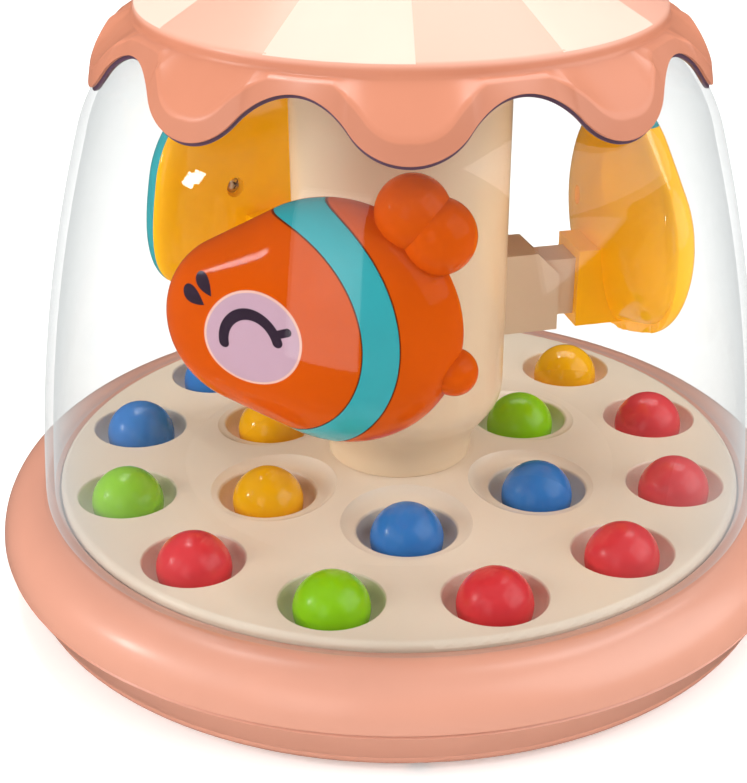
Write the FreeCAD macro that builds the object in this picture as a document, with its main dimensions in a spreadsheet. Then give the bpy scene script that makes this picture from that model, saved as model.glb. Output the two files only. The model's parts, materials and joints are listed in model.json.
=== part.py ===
import FreeCAD, Part
import math
import os
import re
import Sketcher
from FreeCAD import Vector

# A press-and-spin carousel music box, standing on its base, front at -Y, millimetres.
# A press knob drives a twisted bar, a clutch nut and the carousel of fish, balls and tray;
# pins on the carousel's drum pluck a comb in the base.

sizes = {
    # base: two shells that meet at the parting line, on rubber feet
    "base_radius": 105.0,
    "floor_inset": 5.0,
    "parting_height": 14.7,
    "lip_inset": 11.6,
    "lip_rise": 14.6,
    "lip_land": 3.0,
    "shoulder_bulge": 3.3,
    "cavity_bulge": 2.3,
    "base_wall": 2.5,
    "edge_round": 3.0,
    "seam": 0.5,
    "foot_height": 2.0,
    "foot_radius": 8.0,
    "foot_inset": 23.0,
    "foot_round": 0.7,
    "foot_count": 4,
    "base_screw_offset": 3.5,
    "base_screw_count": 4,
    "screw_post_radius": 2.5,
    "screw_post_rise": 8.0,
    "screw_radius": 1.3,
    "screw_head_radius": 2.3,
    "screw_head_height": 1.6,
    "screw_play": 0.2,
    # clear dome, clamped by its flange between the two base shells
    "dome_fit": 0.3,
    "dome_wall": 2.2,
    "dome_flange": 1.2,
    "flange_rise": 1.6,
    "flange_thickness": 2.0,
    "shoulder_radius": 76.7,
    "shoulder_rise": 27.5,
    "dome_bulge": 2.7,
    "crown_inset": 26.7,
    "crown_bulge": 5.0,
    "crown_rise": 26.0,
    # striped canopy with a bead and a scalloped skirt
    "canopy_wall": 2.0,
    "eave_inset": 13.5,
    "eave_rise": 4.4,
    "bead_setback": 9.7,
    "bead_rise": 1.8,
    "bead_swell": 1.3,
    "bead_inset": 1.6,
    "skirt_inset": 3.7,
    "skirt_bulge": 1.9,
    "scallop_count": 9,
    "tip_drop": 13.5,
    "valley_drop": 1.1,
    "roof_play": 0.3,
    "roof_rise": 21.0,
    "panel_count": 6,
    "panel_depth": 0.9,
    "panel_play": 0.1,
    "panel_margin": 1.2,
    "canopy_screw_inset": 6.0,
    "canopy_screw_count": 3,
    # ball tray: two rings of cups, those of the inner ring in shallow scoops
    "tray_inset": 4.0,
    "tray_round": 1.6,
    "tray_skirt": 3.0,
    "tray_rise": 11.6,
    "seat_rise": 2.8,
    "tray_seat_radius": 20.0,
    "slope_inset": 16.2,
    "tray_wall": 1.8,
    "outer_inset": 16.2,
    "outer_count": 12,
    "inner_inset": 16.9,
    "inner_count": 6,
    "cup_radius": 12.5,
    "cup_lift": 2.3,
    "rim_round": 0.8,
    "rim_lift": 0.1,
    "scoop_radius": 18.2,
    "scoop_rise": 2.8,
    "scoop_sag": 0.7,
    "ball_radius": 9.15,
    "ball_rest": 0.05,
    # column on a steel spindle, with three arms
    "spindle_radius": 3.0,
    "spindle_play": 0.05,
    "spindle_reach": 13.6,
    "boss_radius": 8.0,
    "boss_rise": 4.5,
    "washer_thickness": 0.8,
    "running_gap": 0.1,
    "bush_wall": 3.0,
    "bush_flange": 1.5,
    "hub_wall": 6.0,
    "column_radius": 26.8,
    "column_wall": 2.4,
    "column_drop": 10.5,
    "column_foot_radius": 18.7,
    "waist_rise": 19.6,
    "foot_bulge": 3.9,
    "inner_foot_bulge": 3.3,
    "column_floor": 3.0,
    "tray_screw_bite": 2.4,
    "bush_socket": 12.0,
    "arm_count": 3,
    "carousel_turn": -17.8,
    "arm_drop": 17.0,
    "arm_setback": 18.0,
    "arm_tall": 21.0,
    "arm_wide": 15.0,
    "arm_slope": 6.0,
    "tongue_setback": 7.0,
    "tongue_tall": 15.0,
    "tongue_wide": 10.0,
    # fish: egg-shaped, flattened, in two shells with an inlaid band
    "fish_inset": 18.7,
    "fish_side": 1.5,
    "fish_height": 91.0,
    "fish_body": 28.2,
    "fish_head": 20.2,
    "fish_neck": 19.6,
    "fish_pitch": 5.3,
    "fish_front": 15.0,
    "fish_back": 8.0,
    "fish_wall": 2.4,
    "band_inner": 24.7,
    "band_inner_back": 15.0,
    "band_outer": 30.1,
    "band_outer_back": 12.8,
    "band_depth": 1.0,
    "flank_drop": 17.0,
    "band_play": 0.1,
    "lobe_radius": 8.2,
    "lobe_reach": 31.4,
    "lobe_angle": 51.1,
    "lobe_spread": 13.2,
    "fin_radius": 5.3,
    "fin_reach": 27.7,
    "fin_angle": -18.0,
    "socket_wall": 2.5,
    "socket_play": 0.15,
    "socket_length": 13.0,
    "fish_screw_side": 9.0,
    "fish_screw_rise": 1.5,
    "fish_screw_seat": 3.0,
    "fish_screw_length": 10.0,
    # press drive in the column's head
    "cap_thickness": 2.5,
    "cup_wall": 2.0,
    "cup_depth": 12.0,
    "clutch_radius": 12.0,
    "tooth_count": 12,
    "tooth_rise": 1.6,
    "tooth_inner": 7.5,
    "tooth_length": 3.4,
    "clutch_gap": 0.4,
    "clutch_play": 0.4,
    "nut_thickness": 5.0,
    "bar_wide": 7.0,
    "bar_thick": 2.4,
    "bar_lead": 36.0,
    "bar_play": 0.3,
    "bar_hole": 5.0,
    "bar_drop": 26.0,
    "bar_head": 4.6,
    "bar_head_length": 8.0,
    "bar_head_lift": 6.0,
    "twist_steps": 16,
    "neck_radius": 9.0,
    "neck_bore": 6.5,
    "neck_flange": 19.5,
    "neck_flange_thickness": 2.0,
    "neck_rise": 6.5,
    "neck_play": 0.06,
    "upper_bush_wall": 3.0,
    "upper_bush_flange": 17.5,
    "upper_bush_flange_thickness": 2.0,
    "upper_bush_drop": 4.0,
    "cap_screw_ring": 16.0,
    "cap_screw_count": 3,
    "knob_radius": 22.0,
    "knob_wall": 2.5,
    "knob_crown": 8.0,
    "knob_rise": 12.0,
    "knob_flange": 1.6,
    "knob_flange_thickness": 2.5,
    "knob_play": 0.3,
    "knob_stroke": 16.0,
    "key_count": 2,
    "key_wide": 3.0,
    "key_reach": 0.8,
    "collar_wall": 2.0,
    "collar_rise": 26.5,
    "collar_lip": 3.0,
    "collar_flange": 4.0,
    "collar_foot_gap": 1.5,
    "stem_wall": 2.4,
    "spring_radius": 14.5,
    "spring_wire": 0.7,
    "spring_turns": 6,
    # pinned drum on the tray's hub and a comb in the base
    "drum_radius": 20.0,
    "drum_wall": 3.0,
    "drum_web": 2.5,
    "note_count": 8,
    "note_pitch": 1.15,
    "slit": 0.3,
    "pins_per_note": 3,
    "pin_radius": 0.4,
    "pin_length": 0.9,
    "pin_stagger": 137.5,
    "comb_gap": 0.35,
    "comb_length": 20.0,
    "comb_back": 6.5,
    "comb_thickness": 0.9,
    "comb_floor_gap": 0.6,
    "block_thickness": 6.0,
    "comb_screw_radius": 2.1,
    "comb_screw_height": 1.3,
}

# Sizes that follow from others, so that neighbouring pieces keep together when one size changes.
ties = {
    "pan_top": "foot_height + base_wall",
    "floor_radius": "base_radius - floor_inset",
    "foot_ring": "base_radius - foot_inset",
    "lip_radius": "base_radius - lip_inset",
    "lip_height": "parting_height + lip_rise",
    "base_screw_ring": "lip_radius + base_screw_offset",
    "dome_radius": "lip_radius - dome_fit",
    "flange_radius": "dome_radius + dome_flange",
    "flange_under": "parting_height + flange_rise",
    "flange_over": "flange_under + flange_thickness",
    "shoulder_height": "fish_height + shoulder_rise",
    "crown_radius": "shoulder_radius - crown_inset",
    "canopy_screw_ring": "crown_radius - canopy_screw_inset",
    "dome_top": "shoulder_height + crown_rise",
    "skirt_radius": "shoulder_radius - skirt_inset",
    "eave_radius": "skirt_radius - eave_inset",
    "eave_height": "dome_top + eave_rise",
    "bead_radius": "skirt_radius - bead_setback",
    "bead_height": "dome_top + bead_rise",
    "scallop_tip": "dome_top - tip_drop",
    "scallop_valley": "dome_top - valley_drop",
    "roof_hole": "collar_radius + roof_play",
    "roof_top": "dome_top + roof_rise",
    "roof_slope": "(roof_top - eave_height) / (eave_radius - roof_hole)",
    "tray_radius": "lip_radius - tray_inset",
    "tray_top": "cup_floor + tray_rise",
    "tray_edge": "tray_top - tray_round",
    "tray_seat": "tray_top + seat_rise",
    "outer_ring": "tray_radius - outer_inset",
    "tray_slope_radius": "outer_ring - slope_inset",
    "inner_ring": "tray_slope_radius - inner_inset",
    "cup_floor": "parting_height + cup_lift",
    "cup_middle": "cup_floor + cup_radius",
    "dimple_height": "tray_top + rim_lift - rim_round",
    "dimple_radius": "sqrt(cup_radius^2 - (cup_middle - dimple_height)^2)",
    "ball_height": "cup_floor + ball_rest + ball_radius",
    "boss_top": "pan_top + boss_rise",
    "bush_under": "boss_top + washer_thickness + running_gap",
    "bush_radius": "spindle_radius + spindle_play + bush_wall",
    "hub_under": "bush_under + bush_flange",
    "spindle_top": "tray_seat + spindle_reach",
    "column_top": "dome_top - column_drop",
    "column_waist": "tray_seat + waist_rise",
    "tray_screw_ring": "bush_radius + hub_wall + 2 * screw_head_radius",
    "fish_plane": "shoulder_radius - fish_inset",
    "arm_height": "fish_height - arm_drop",
    "arm_under": "arm_height - arm_tall / 2",
    "arm_reach": "fish_plane - arm_setback",
    "tongue_reach": "fish_plane - tongue_setback",
    "cap_top": "column_top + cap_thickness",
    "clutch_floor": "cap_top - cup_depth",
    "nut_under": "clutch_floor + 2 * tooth_rise + clutch_gap",
    "bush_seat": "dome_top + upper_bush_flange_thickness",
    "neck_top": "dome_top + neck_rise",
    "collar_bore": "knob_radius + knob_flange + knob_play",
    "collar_radius": "collar_bore + collar_wall",
    "collar_top": "dome_top + collar_rise",
    "knob_side_top": "collar_top + knob_rise",
    "knob_top": "knob_side_top + knob_crown",
    "knob_flange_top": "collar_top - collar_lip - knob_play",
    "knob_under": "knob_flange_top - knob_flange_thickness",
    "knob_ceiling": "knob_side_top - knob_wall",
    "bar_bottom": "column_top - bar_drop",
    "bar_head_under": "bush_seat + knob_stroke + bar_head_lift",
    "bar_top": "bar_head_under + bar_head_length",
    "comb_under": "pan_top + comb_floor_gap",
    "comb_tall": "note_count * note_pitch",
    "comb_tip": "drum_radius + pin_length + comb_gap",
}

doc = FreeCAD.newDocument("CarouselMusicBox")
sheet = doc.addObject("Spreadsheet::Sheet", "Sizes")
for row, (alias, size) in enumerate(sizes.items(), start=1):
    sheet.set(f"A{row}", alias)
    sheet.set(f"B{row}", str(size))
    sheet.setAlias(f"B{row}", alias)
doc.recompute()

UP = Vector(0, 0, 1)
ORIGIN = Vector(0, 0, 0)
subparts = []


# Names of sizes in a text become cells of the sheet, and ties become their own formulas.
def formula(text):
    def cell(match):
        word = match[0]
        if word in ties:
            return f"({formula(ties[word])})"
        return f"Sizes.{word}" if word in sizes else word
    return re.sub(r"[a-z_]+", cell, text)


def value(text):
    return float(sheet.evalExpression(formula(text)))


# Radius of a round edge between two corners that rises by a given bulge above its chord.
def bulged(start, end, bulge):
    chord = f"(({end[0]} - ({start[0]}))^2 + ({end[1]} - ({start[1]}))^2)"
    return f"{chord} / (8 * ({bulge})) + ({bulge}) / 2"


def roof_height(radius):
    return f"(eave_height + roof_slope * (eave_radius - ({radius})))"


def ceiling_height(radius):
    return f"({roof_height(radius)} - canopy_wall)"


def name_part(thing, label):
    thing.Label = label
    subparts.append(thing)
    return thing


def new_body(label):
    return name_part(doc.addObject("PartDesign::Body", label), label)


def loose_body(label):
    body = doc.addObject("PartDesign::Body", label)
    body.Label = label
    return body


def origin_part(body, role):
    return next(item for item in body.Origin.OriginFeatures if item.Role == role)


# A sketch on one of the body's own planes, moved along the plane's normal or swung about the upright axis.
def new_sketch(body, role, offset=None, swing=None):
    sketch = body.newObject("Sketcher::SketchObject", f"{body.Label}_sketch")
    sketch.AttachmentSupport = [(origin_part(body, role), "")]
    sketch.MapMode = "FlatFace"
    if offset:
        sketch.setExpression("AttachmentOffset.Base.z", formula(offset))
    if swing:
        sketch.AttachmentOffset = FreeCAD.Placement(ORIGIN, FreeCAD.Rotation(Vector(0, 1, 0), 1))
        sketch.setExpression("AttachmentOffset.Rotation.Angle", formula(swing))
    return sketch


def bind(sketch, kind, *where, text):
    index = sketch.addConstraint(Sketcher.Constraint(kind, *where, value(text)))
    sketch.setExpression(f"Constraints[{index}]", formula(text))


def pin_point(sketch, edge, end, x, y):
    for kind, axis, text in (("DistanceX", -2, x), ("DistanceY", -1, y)):
        if text == "0":
            sketch.addConstraint(Sketcher.Constraint("PointOnObject", edge, end, axis))
        else:
            bind(sketch, kind, -1, 1, edge, end, text=text)


def short_arc(start, end, radius):
    chord = end - start
    middle = (start + end) / 2
    left = Vector(-chord.y, chord.x, 0).normalize()
    centre = middle + left * math.sqrt(max(radius**2 - chord.Length**2 / 4, 0))
    angles = [math.atan2(point.y - centre.y, point.x - centre.x) for point in (start, end)]
    if angles[1] < angles[0]:
        angles[1] += 2 * math.pi
    return Part.ArcOfCircle(Part.Circle(centre, UP, radius), *angles)


# A closed outline, walked anticlockwise. A corner is (x, y), or (x, y, radius) where a round edge
# leaves it, which bulges outwards, or inwards where the radius is led by a minus sign.
def draw(sketch, corners):
    points = [Vector(value(corner[0]), value(corner[1])) for corner in corners]
    edges = []
    for corner, start, end in zip(corners, points, points[1:] + points[:1]):
        if len(corner) == 2:
            edges.append((sketch.addGeometry(Part.LineSegment(start, end)), 1, 2))
            continue
        inward = corner[2].startswith("-")
        radius = corner[2].removeprefix("-")
        ends = (end, start) if inward else (start, end)
        edge = sketch.addGeometry(short_arc(*ends, value(radius)))
        bind(sketch, "Radius", edge, text=radius)
        edges.append((edge, 2, 1) if inward else (edge, 1, 2))
    for (edge, _, end), (following, start, _) in zip(edges, edges[1:] + edges[:1]):
        sketch.addConstraint(Sketcher.Constraint("Coincident", edge, end, following, start))
    for corner, (edge, start, _) in zip(corners, edges):
        pin_point(sketch, edge, start, corner[0], corner[1])
    return sketch


def draw_circle(sketch, x, y, radius):
    centre = Vector(value(x), value(y))
    edge = sketch.addGeometry(Part.Circle(centre, UP, value(radius)))
    bind(sketch, "Radius", edge, text=radius)
    pin_point(sketch, edge, 3, x, y)
    return sketch


def draw_axis(sketch, x):
    foot = Vector(value(x), 0)
    edge = sketch.addGeometry(Part.LineSegment(foot, foot + Vector(0, 1)), True)
    pin_point(sketch, edge, 1, x, "0")
    pin_point(sketch, edge, 2, x, "1")


def rectangle(left, low, right, high):
    return [(left, low), (right, low), (right, high), (left, high)]


def spin(body, sketch, kind="Revolution", axis="V_Axis", angle=None):
    feature = body.newObject(f"PartDesign::{kind}", f"{body.Label}_{kind.lower()}")
    feature.Profile = sketch
    feature.ReferenceAxis = (sketch, [axis])
    feature.Angle = 360
    if angle:
        feature.Midplane = True
        feature.setExpression("Angle", formula(angle))
    return feature


def extrude(body, sketch, length, kind="Pad", both_ways=False, reverse=False):
    feature = body.newObject(f"PartDesign::{kind}", f"{body.Label}_{kind.lower()}")
    feature.Profile = sketch
    feature.setExpression("Length", formula(length))
    feature.Midplane = both_ways
    feature.Reversed = reverse
    return feature


def repeat_round(body, features, count):
    pattern = body.newObject("PartDesign::PolarPattern", f"{body.Label}_ring")
    pattern.Originals = features
    pattern.Axis = (origin_part(body, "Z_Axis"), [""])
    pattern.Angle = 360
    pattern.setExpression("Occurrences", formula(count))
    body.Tip = pattern
    return pattern


# A ring of screw holes, cut downwards from the given height.
def bore_round(body, ring, top, depth, count):
    sketch = draw_circle(new_sketch(body, "XY_Plane", top), ring, "0", "screw_radius")
    repeat_round(body, [extrude(body, sketch, depth, "Pocket")], count)


def turned_body(label, corners):
    body = new_body(label)
    spin(body, draw(new_sketch(body, "XZ_Plane"), corners))
    return body


def shape_part(label, shape, place=ORIGIN, turn=0):
    thing = name_part(doc.addObject("Part::Feature", label), label)
    thing.Shape = shape
    rotation = FreeCAD.Rotation(UP, turn)
    thing.Placement = FreeCAD.Placement(rotation.multVec(place), rotation)
    return thing


# Copies of one piece about the upright axis, as one group.
def ring_of(label, piece, count, start=0):
    copies = []
    for index in range(count):
        copy = piece.copy()
        copy.rotate(ORIGIN, UP, start + 360 * index / count)
        copies.append(copy)
    return shape_part(label, Part.makeCompound(copies))


# A screw along +Z with its head's underside at the given height; a negative length points down.
def screw(radius, seat, length):
    head, shank = value("screw_head_radius"), value("screw_radius")
    direction = UP if length > 0 else -UP
    seat_point = Vector(radius, 0, seat)
    thread = Part.makeCylinder(shank, abs(length), seat_point, direction)
    cap = Part.makeCylinder(head, value("screw_head_height"), seat_point, -direction)
    return thread.fuse(cap).removeSplitter()


def base_pan():
    body = turned_body("base_pan", [
        ("0", "foot_height"),
        ("floor_radius - edge_round", "foot_height", "edge_round"),
        ("floor_radius", "foot_height + edge_round"),
        ("base_radius", "parting_height - seam"),
        ("base_radius - seam", "parting_height"),
        ("base_radius - base_wall", "parting_height"),
        ("floor_radius - base_wall", "pan_top"),
        ("flange_radius", "pan_top"),
        ("flange_radius", "flange_under"),
        ("dome_radius - dome_wall", "flange_under"),
        ("dome_radius - dome_wall", "pan_top"),
        ("boss_radius", "pan_top"),
        ("boss_radius", "boss_top"),
        ("spindle_radius", "boss_top"),
        ("spindle_radius", "foot_height + base_wall / 2"),
        ("0", "foot_height + base_wall / 2"),
    ])
    post = draw_circle(new_sketch(body, "XY_Plane", "pan_top"), "base_screw_ring", "0", "screw_post_radius")
    repeat_round(body, [extrude(body, post, "parting_height - pan_top")], "base_screw_count")
    bore = draw_circle(new_sketch(body, "XY_Plane"), "base_screw_ring", "0", "screw_radius + screw_play")
    repeat_round(body, [extrude(body, bore, "parting_height", "Pocket", reverse=True)], "base_screw_count")
    sink = draw_circle(new_sketch(body, "XY_Plane"), "base_screw_ring", "0", "screw_head_radius + screw_play")
    depth = "foot_height + screw_head_height + screw_play"
    repeat_round(body, [extrude(body, sink, depth, "Pocket", reverse=True)], "base_screw_count")
    recess = draw_circle(new_sketch(body, "XY_Plane"), "foot_ring", "0", "foot_radius")
    well = extrude(body, recess, "foot_height + base_wall / 2", "Pocket", reverse=True)
    repeat_round(body, [well], "foot_count")
    return body


def base_rim():
    tube_under = "(flange_over + running_gap)"
    crest = ("lip_radius + lip_land", "lip_height + seam")
    widest = ("base_radius", "parting_height + seam")
    cavity = ("lip_radius + base_wall", "lip_height - base_wall")
    inside = ("base_radius - base_wall", "parting_height")
    body = turned_body("base_rim", [
        ("lip_radius", tube_under),
        ("lip_radius + base_wall", tube_under),
        (*cavity, "-" + bulged(cavity, inside, "cavity_bulge")),
        inside,
        ("base_radius - seam", "parting_height"),
        (*widest, bulged(widest, crest, "shoulder_bulge")),
        crest,
        ("lip_radius", "lip_height - seam"),
    ])
    post = draw_circle(new_sketch(body, "XY_Plane", "parting_height"), "base_screw_ring", "0",
                       "screw_post_radius")
    repeat_round(body, [extrude(body, post, "screw_post_rise")], "base_screw_count")
    pilot = draw_circle(new_sketch(body, "XY_Plane", "parting_height"), "base_screw_ring", "0",
                        "screw_radius")
    hole = extrude(body, pilot, "screw_post_rise - base_wall / 2", "Pocket", reverse=True)
    repeat_round(body, [hole], "base_screw_count")
    return body


def base_fittings():
    foot = Part.makeCylinder(value("foot_radius"), value("foot_height + base_wall / 2"),
                             Vector(value("foot_ring"), 0, 0))
    lowest = min(foot.Edges, key=lambda edge: edge.CenterOfMass.z)
    foot = foot.makeFillet(value("foot_round"), [lowest])
    ring_of("feet", foot, int(value("foot_count")))
    seat = value("foot_height + screw_head_height + screw_play")
    length = value("parting_height + screw_post_rise - base_wall") - seat
    ring_of("base_screws", screw(value("base_screw_ring"), seat, length), int(value("base_screw_count")))
    turned_body("spindle", rectangle("0", "foot_height + base_wall / 2", "spindle_radius", "spindle_top"))
    turned_body("thrust_washer", rectangle("spindle_radius + spindle_play", "boss_top", "boss_radius",
                                           "boss_top + washer_thickness"))


def dome():
    start = ("dome_radius", "lip_height")
    shoulder = ("shoulder_radius", "shoulder_height")
    crown = ("crown_radius", "dome_top")
    inner_crown = ("crown_radius", "dome_top - dome_wall")
    inner_shoulder = ("shoulder_radius - dome_wall", "shoulder_height - dome_wall / 3")
    inner_start = ("dome_radius - dome_wall", "lip_height")
    hole = "neck_radius + neck_play + upper_bush_wall"
    body = turned_body("dome", [
        ("dome_radius - dome_wall", "flange_under"),
        ("flange_radius", "flange_under"),
        ("flange_radius", "flange_over"),
        ("dome_radius", "flange_over"),
        (*start, bulged(start, shoulder, "dome_bulge")),
        (*shoulder, bulged(shoulder, crown, "crown_bulge")),
        crown,
        (hole, "dome_top"),
        (hole, "dome_top - dome_wall"),
        (*inner_crown, "-" + bulged(inner_crown, inner_shoulder, "crown_bulge")),
        (*inner_shoulder, "-" + bulged(inner_shoulder, inner_start, "dome_bulge")),
        inner_start,
    ])
    bore = draw_circle(new_sketch(body, "XY_Plane", "dome_top"), "canopy_screw_ring", "0",
                       "screw_radius + screw_play")
    repeat_round(body, [extrude(body, bore, "2 * dome_wall", "Pocket")], "canopy_screw_count")
    return body


def canopy():
    eave = ("eave_radius", "eave_height")
    bead = ("bead_radius", "bead_height")
    hem = ("skirt_radius", "scallop_tip - canopy_wall")
    inner_hem = ("skirt_radius - canopy_wall", "scallop_tip - canopy_wall")
    inner_bead = ("bead_radius - canopy_wall", "bead_height - bead_inset")
    body = turned_body("canopy", [
        ("roof_hole", ceiling_height("roof_hole")),
        (*inner_bead, "-" + bulged(inner_bead, inner_hem, "skirt_bulge")),
        inner_hem,
        (*hem, bulged(hem, bead, "skirt_bulge")),
        (*bead, bulged(bead, eave, "bead_swell")),
        eave,
        ("roof_hole", "roof_top"),
    ])
    # Each scallop is one wave of four equal arcs, cut outwards through the skirt at the back.
    half_wave = "(skirt_radius * sin(180 / scallop_count))"
    depth = "(scallop_valley - scallop_tip)"
    wave_arc = f"(({half_wave})^2 + {depth}^2) / (4 * {depth})"
    middle = "(scallop_valley + scallop_tip) / 2"
    below = "scallop_tip - 3 * canopy_wall"
    lap = "canopy_wall / 8"
    wave = draw(new_sketch(body, "XZ_Plane"), [
        (f"-{half_wave} - {lap}", below),
        (f"{half_wave} + {lap}", below),
        (f"{half_wave} + {lap}", "scallop_tip"),
        (half_wave, "scallop_tip", "-" + wave_arc),
        (f"{half_wave} / 2", middle, wave_arc),
        ("0", "scallop_valley", wave_arc),
        (f"-{half_wave} / 2", middle, "-" + wave_arc),
        (f"-{half_wave}", "scallop_tip"),
        (f"-{half_wave} - {lap}", "scallop_tip"),
    ])
    repeat_round(body, [extrude(body, wave, "skirt_radius + canopy_wall", "Pocket")], "scallop_count")
    # Every second sector of the roof is sunk for an inlaid panel.
    near, far = "(roof_hole + collar_flange + panel_margin)", "(eave_radius - panel_margin)"
    sector = draw(new_sketch(body, "XZ_Plane", swing="90 / panel_count"), [
        (near, f"{roof_height(near)} - panel_depth"),
        (far, f"{roof_height(far)} - panel_depth"),
        (far, f"{roof_height(far)} + panel_depth"),
        (near, f"{roof_height(near)} + panel_depth"),
    ])
    repeat_round(body, [spin(body, sector, "Groove", angle="180 / panel_count")], "panel_count")
    post = draw_circle(new_sketch(body, "XY_Plane", "dome_top"), "canopy_screw_ring", "0",
                       "screw_post_radius")
    post_rise = f"{ceiling_height('canopy_screw_ring + screw_post_radius')} + canopy_wall / 2 - dome_top"
    repeat_round(body, [extrude(body, post, post_rise)], "canopy_screw_count")
    pilot = draw_circle(new_sketch(body, "XY_Plane", "dome_top"), "canopy_screw_ring", "0", "screw_radius")
    hole = extrude(body, pilot, f"{post_rise} - 2 * canopy_wall", "Pocket", reverse=True)
    repeat_round(body, [hole], "canopy_screw_count")
    return body


def roof_panels():
    play = value("panel_play")
    near = value("roof_hole + collar_flange + panel_margin") + play
    far = value("eave_radius - panel_margin") - play
    top = [value(roof_height(str(radius))) for radius in (near, far)]
    depth = value("panel_depth")
    corners = [(near, top[0] - depth), (far, top[1] - depth), (far, top[1]), (near, top[0])]
    points = [Vector(radius, 0, height) for radius, height in corners + corners[:1]]
    half = 90 / value("panel_count")
    slack = math.degrees(play / near)
    face = Part.Face(Part.makePolygon(points))
    face.rotate(ORIGIN, UP, slack - half)
    sector = face.revolve(ORIGIN, UP, 2 * (half - slack))
    ring_of("roof_panels", sector, int(value("panel_count")), half)


def canopy_fittings():
    seat = value("dome_top - dome_wall")
    length = value(f"{ceiling_height('canopy_screw_ring + screw_post_radius')} - 2 * canopy_wall") - seat
    ring_of("canopy_screws", screw(value("canopy_screw_ring"), seat, length),
            int(value("canopy_screw_count")))
    bore, body = "neck_radius + neck_play", "neck_radius + neck_play + upper_bush_wall"
    turned_body("upper_bush", [
        (bore, "dome_top - upper_bush_drop"),
        (body, "dome_top - upper_bush_drop"),
        (body, "dome_top"),
        ("upper_bush_flange", "dome_top"),
        ("upper_bush_flange", "bush_seat"),
        (bore, "bush_seat"),
    ])
    outer = "(collar_bore + collar_wall)"
    rim = f"({outer} + collar_flange)"
    collar = turned_body("knob_collar", [
        ("collar_bore", "dome_top + collar_foot_gap"),
        (outer, "dome_top + collar_foot_gap"),
        (outer, roof_height(outer)),
        (rim, roof_height(rim)),
        (rim, f"{roof_height(rim)} + collar_wall"),
        (outer, "collar_top"),
        ("knob_radius + knob_play", "collar_top"),
        ("knob_radius + knob_play", "collar_top - collar_lip"),
        ("collar_bore", "collar_top - collar_lip"),
    ])
    # Two grooves in the bore guide the knob's keys.
    groove = draw(new_sketch(collar, "XY_Plane", "collar_top - collar_lip"), rectangle(
        "knob_radius", "-key_wide / 2 - knob_play", "collar_bore + key_reach", "key_wide / 2 + knob_play"))
    slot = extrude(collar, groove, "collar_top - collar_lip - dome_top", "Pocket")
    repeat_round(collar, [slot], "key_count")


def ball_tray():
    edge = "(tray_radius - tray_wall)"
    body = turned_body("ball_tray", [
        ("bush_radius", "hub_under"),
        ("bush_radius + hub_wall", "hub_under"),
        ("bush_radius + hub_wall", "tray_top - tray_wall"),
        (edge, "tray_top - tray_wall"),
        (edge, "tray_edge - tray_skirt"),
        ("tray_radius", "tray_edge - tray_skirt"),
        ("tray_radius", "tray_edge", "tray_top - tray_edge"),
        ("tray_radius - (tray_top - tray_edge)", "tray_top"),
        ("tray_slope_radius", "tray_top"),
        ("tray_seat_radius", "tray_seat"),
        ("bush_radius", "tray_seat"),
    ])
    bore_round(body, "tray_screw_ring", "tray_seat", "seat_rise + 2 * tray_wall", "arm_count")
    rings = (("outer_ring", "outer_count", "180 / outer_count"),
             ("inner_ring", "inner_count", "180 / inner_count"))
    shell = "(cup_radius + tray_wall)"
    shell_top = "(tray_top - tray_wall / 2)"
    shell_edge = f"sqrt({shell}^2 - (cup_middle - {shell_top})^2)"
    for ring, count, swing in rings:
        cup = draw(new_sketch(body, "XZ_Plane", swing=swing), [
            (ring, "cup_floor - tray_wall", shell),
            (f"{ring} + {shell_edge}", shell_top),
            (ring, shell_top),
        ])
        draw_axis(cup, ring)
        repeat_round(body, [spin(body, cup, axis="Axis0")], count)
    for ring, count, swing in rings:
        brow = (f"{ring} + dimple_radius + rim_round", "dimple_height + rim_round")
        bank = (f"{ring} + scoop_radius", "tray_top + scoop_rise")
        scoop = [(*brow, bulged(brow, bank, "scoop_sag")), bank]
        side = scoop if ring == "inner_ring" else [brow]
        hollow = draw(new_sketch(body, "XZ_Plane", swing=swing), [
            (ring, "cup_floor", "cup_radius"),
            (f"{ring} + dimple_radius", "dimple_height", "-rim_round"),
            *side,
            (side[-1][0], "tray_seat + tray_wall"),
            (ring, "tray_seat + tray_wall"),
        ])
        draw_axis(hollow, ring)
        repeat_round(body, [spin(body, hollow, "Groove", axis="Axis0")], count)
    return body


# Colours of the balls in each ring, anticlockwise from the first cup past +X.
outer_colours = ("red", "yellow", "green", "yellow", "blue", "blue",
                 "green", "red", "green", "red", "red", "red")
inner_colours = ("green", "green", "yellow", "yellow", "blue", "blue")


def balls():
    groups = {}
    for ring, colours in (("outer_ring", outer_colours), ("inner_ring", inner_colours)):
        step = 360 / len(colours)
        for index, colour in enumerate(colours):
            angle = math.radians(step * (index + 0.5))
            radius = value(ring)
            centre = Vector(radius * math.cos(angle), radius * math.sin(angle), value("ball_height"))
            groups.setdefault(colour, []).append(Part.makeSphere(value("ball_radius"), centre))
    for colour, spheres in groups.items():
        shape_part(f"balls_{colour}", Part.makeCompound(spheres))


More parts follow.
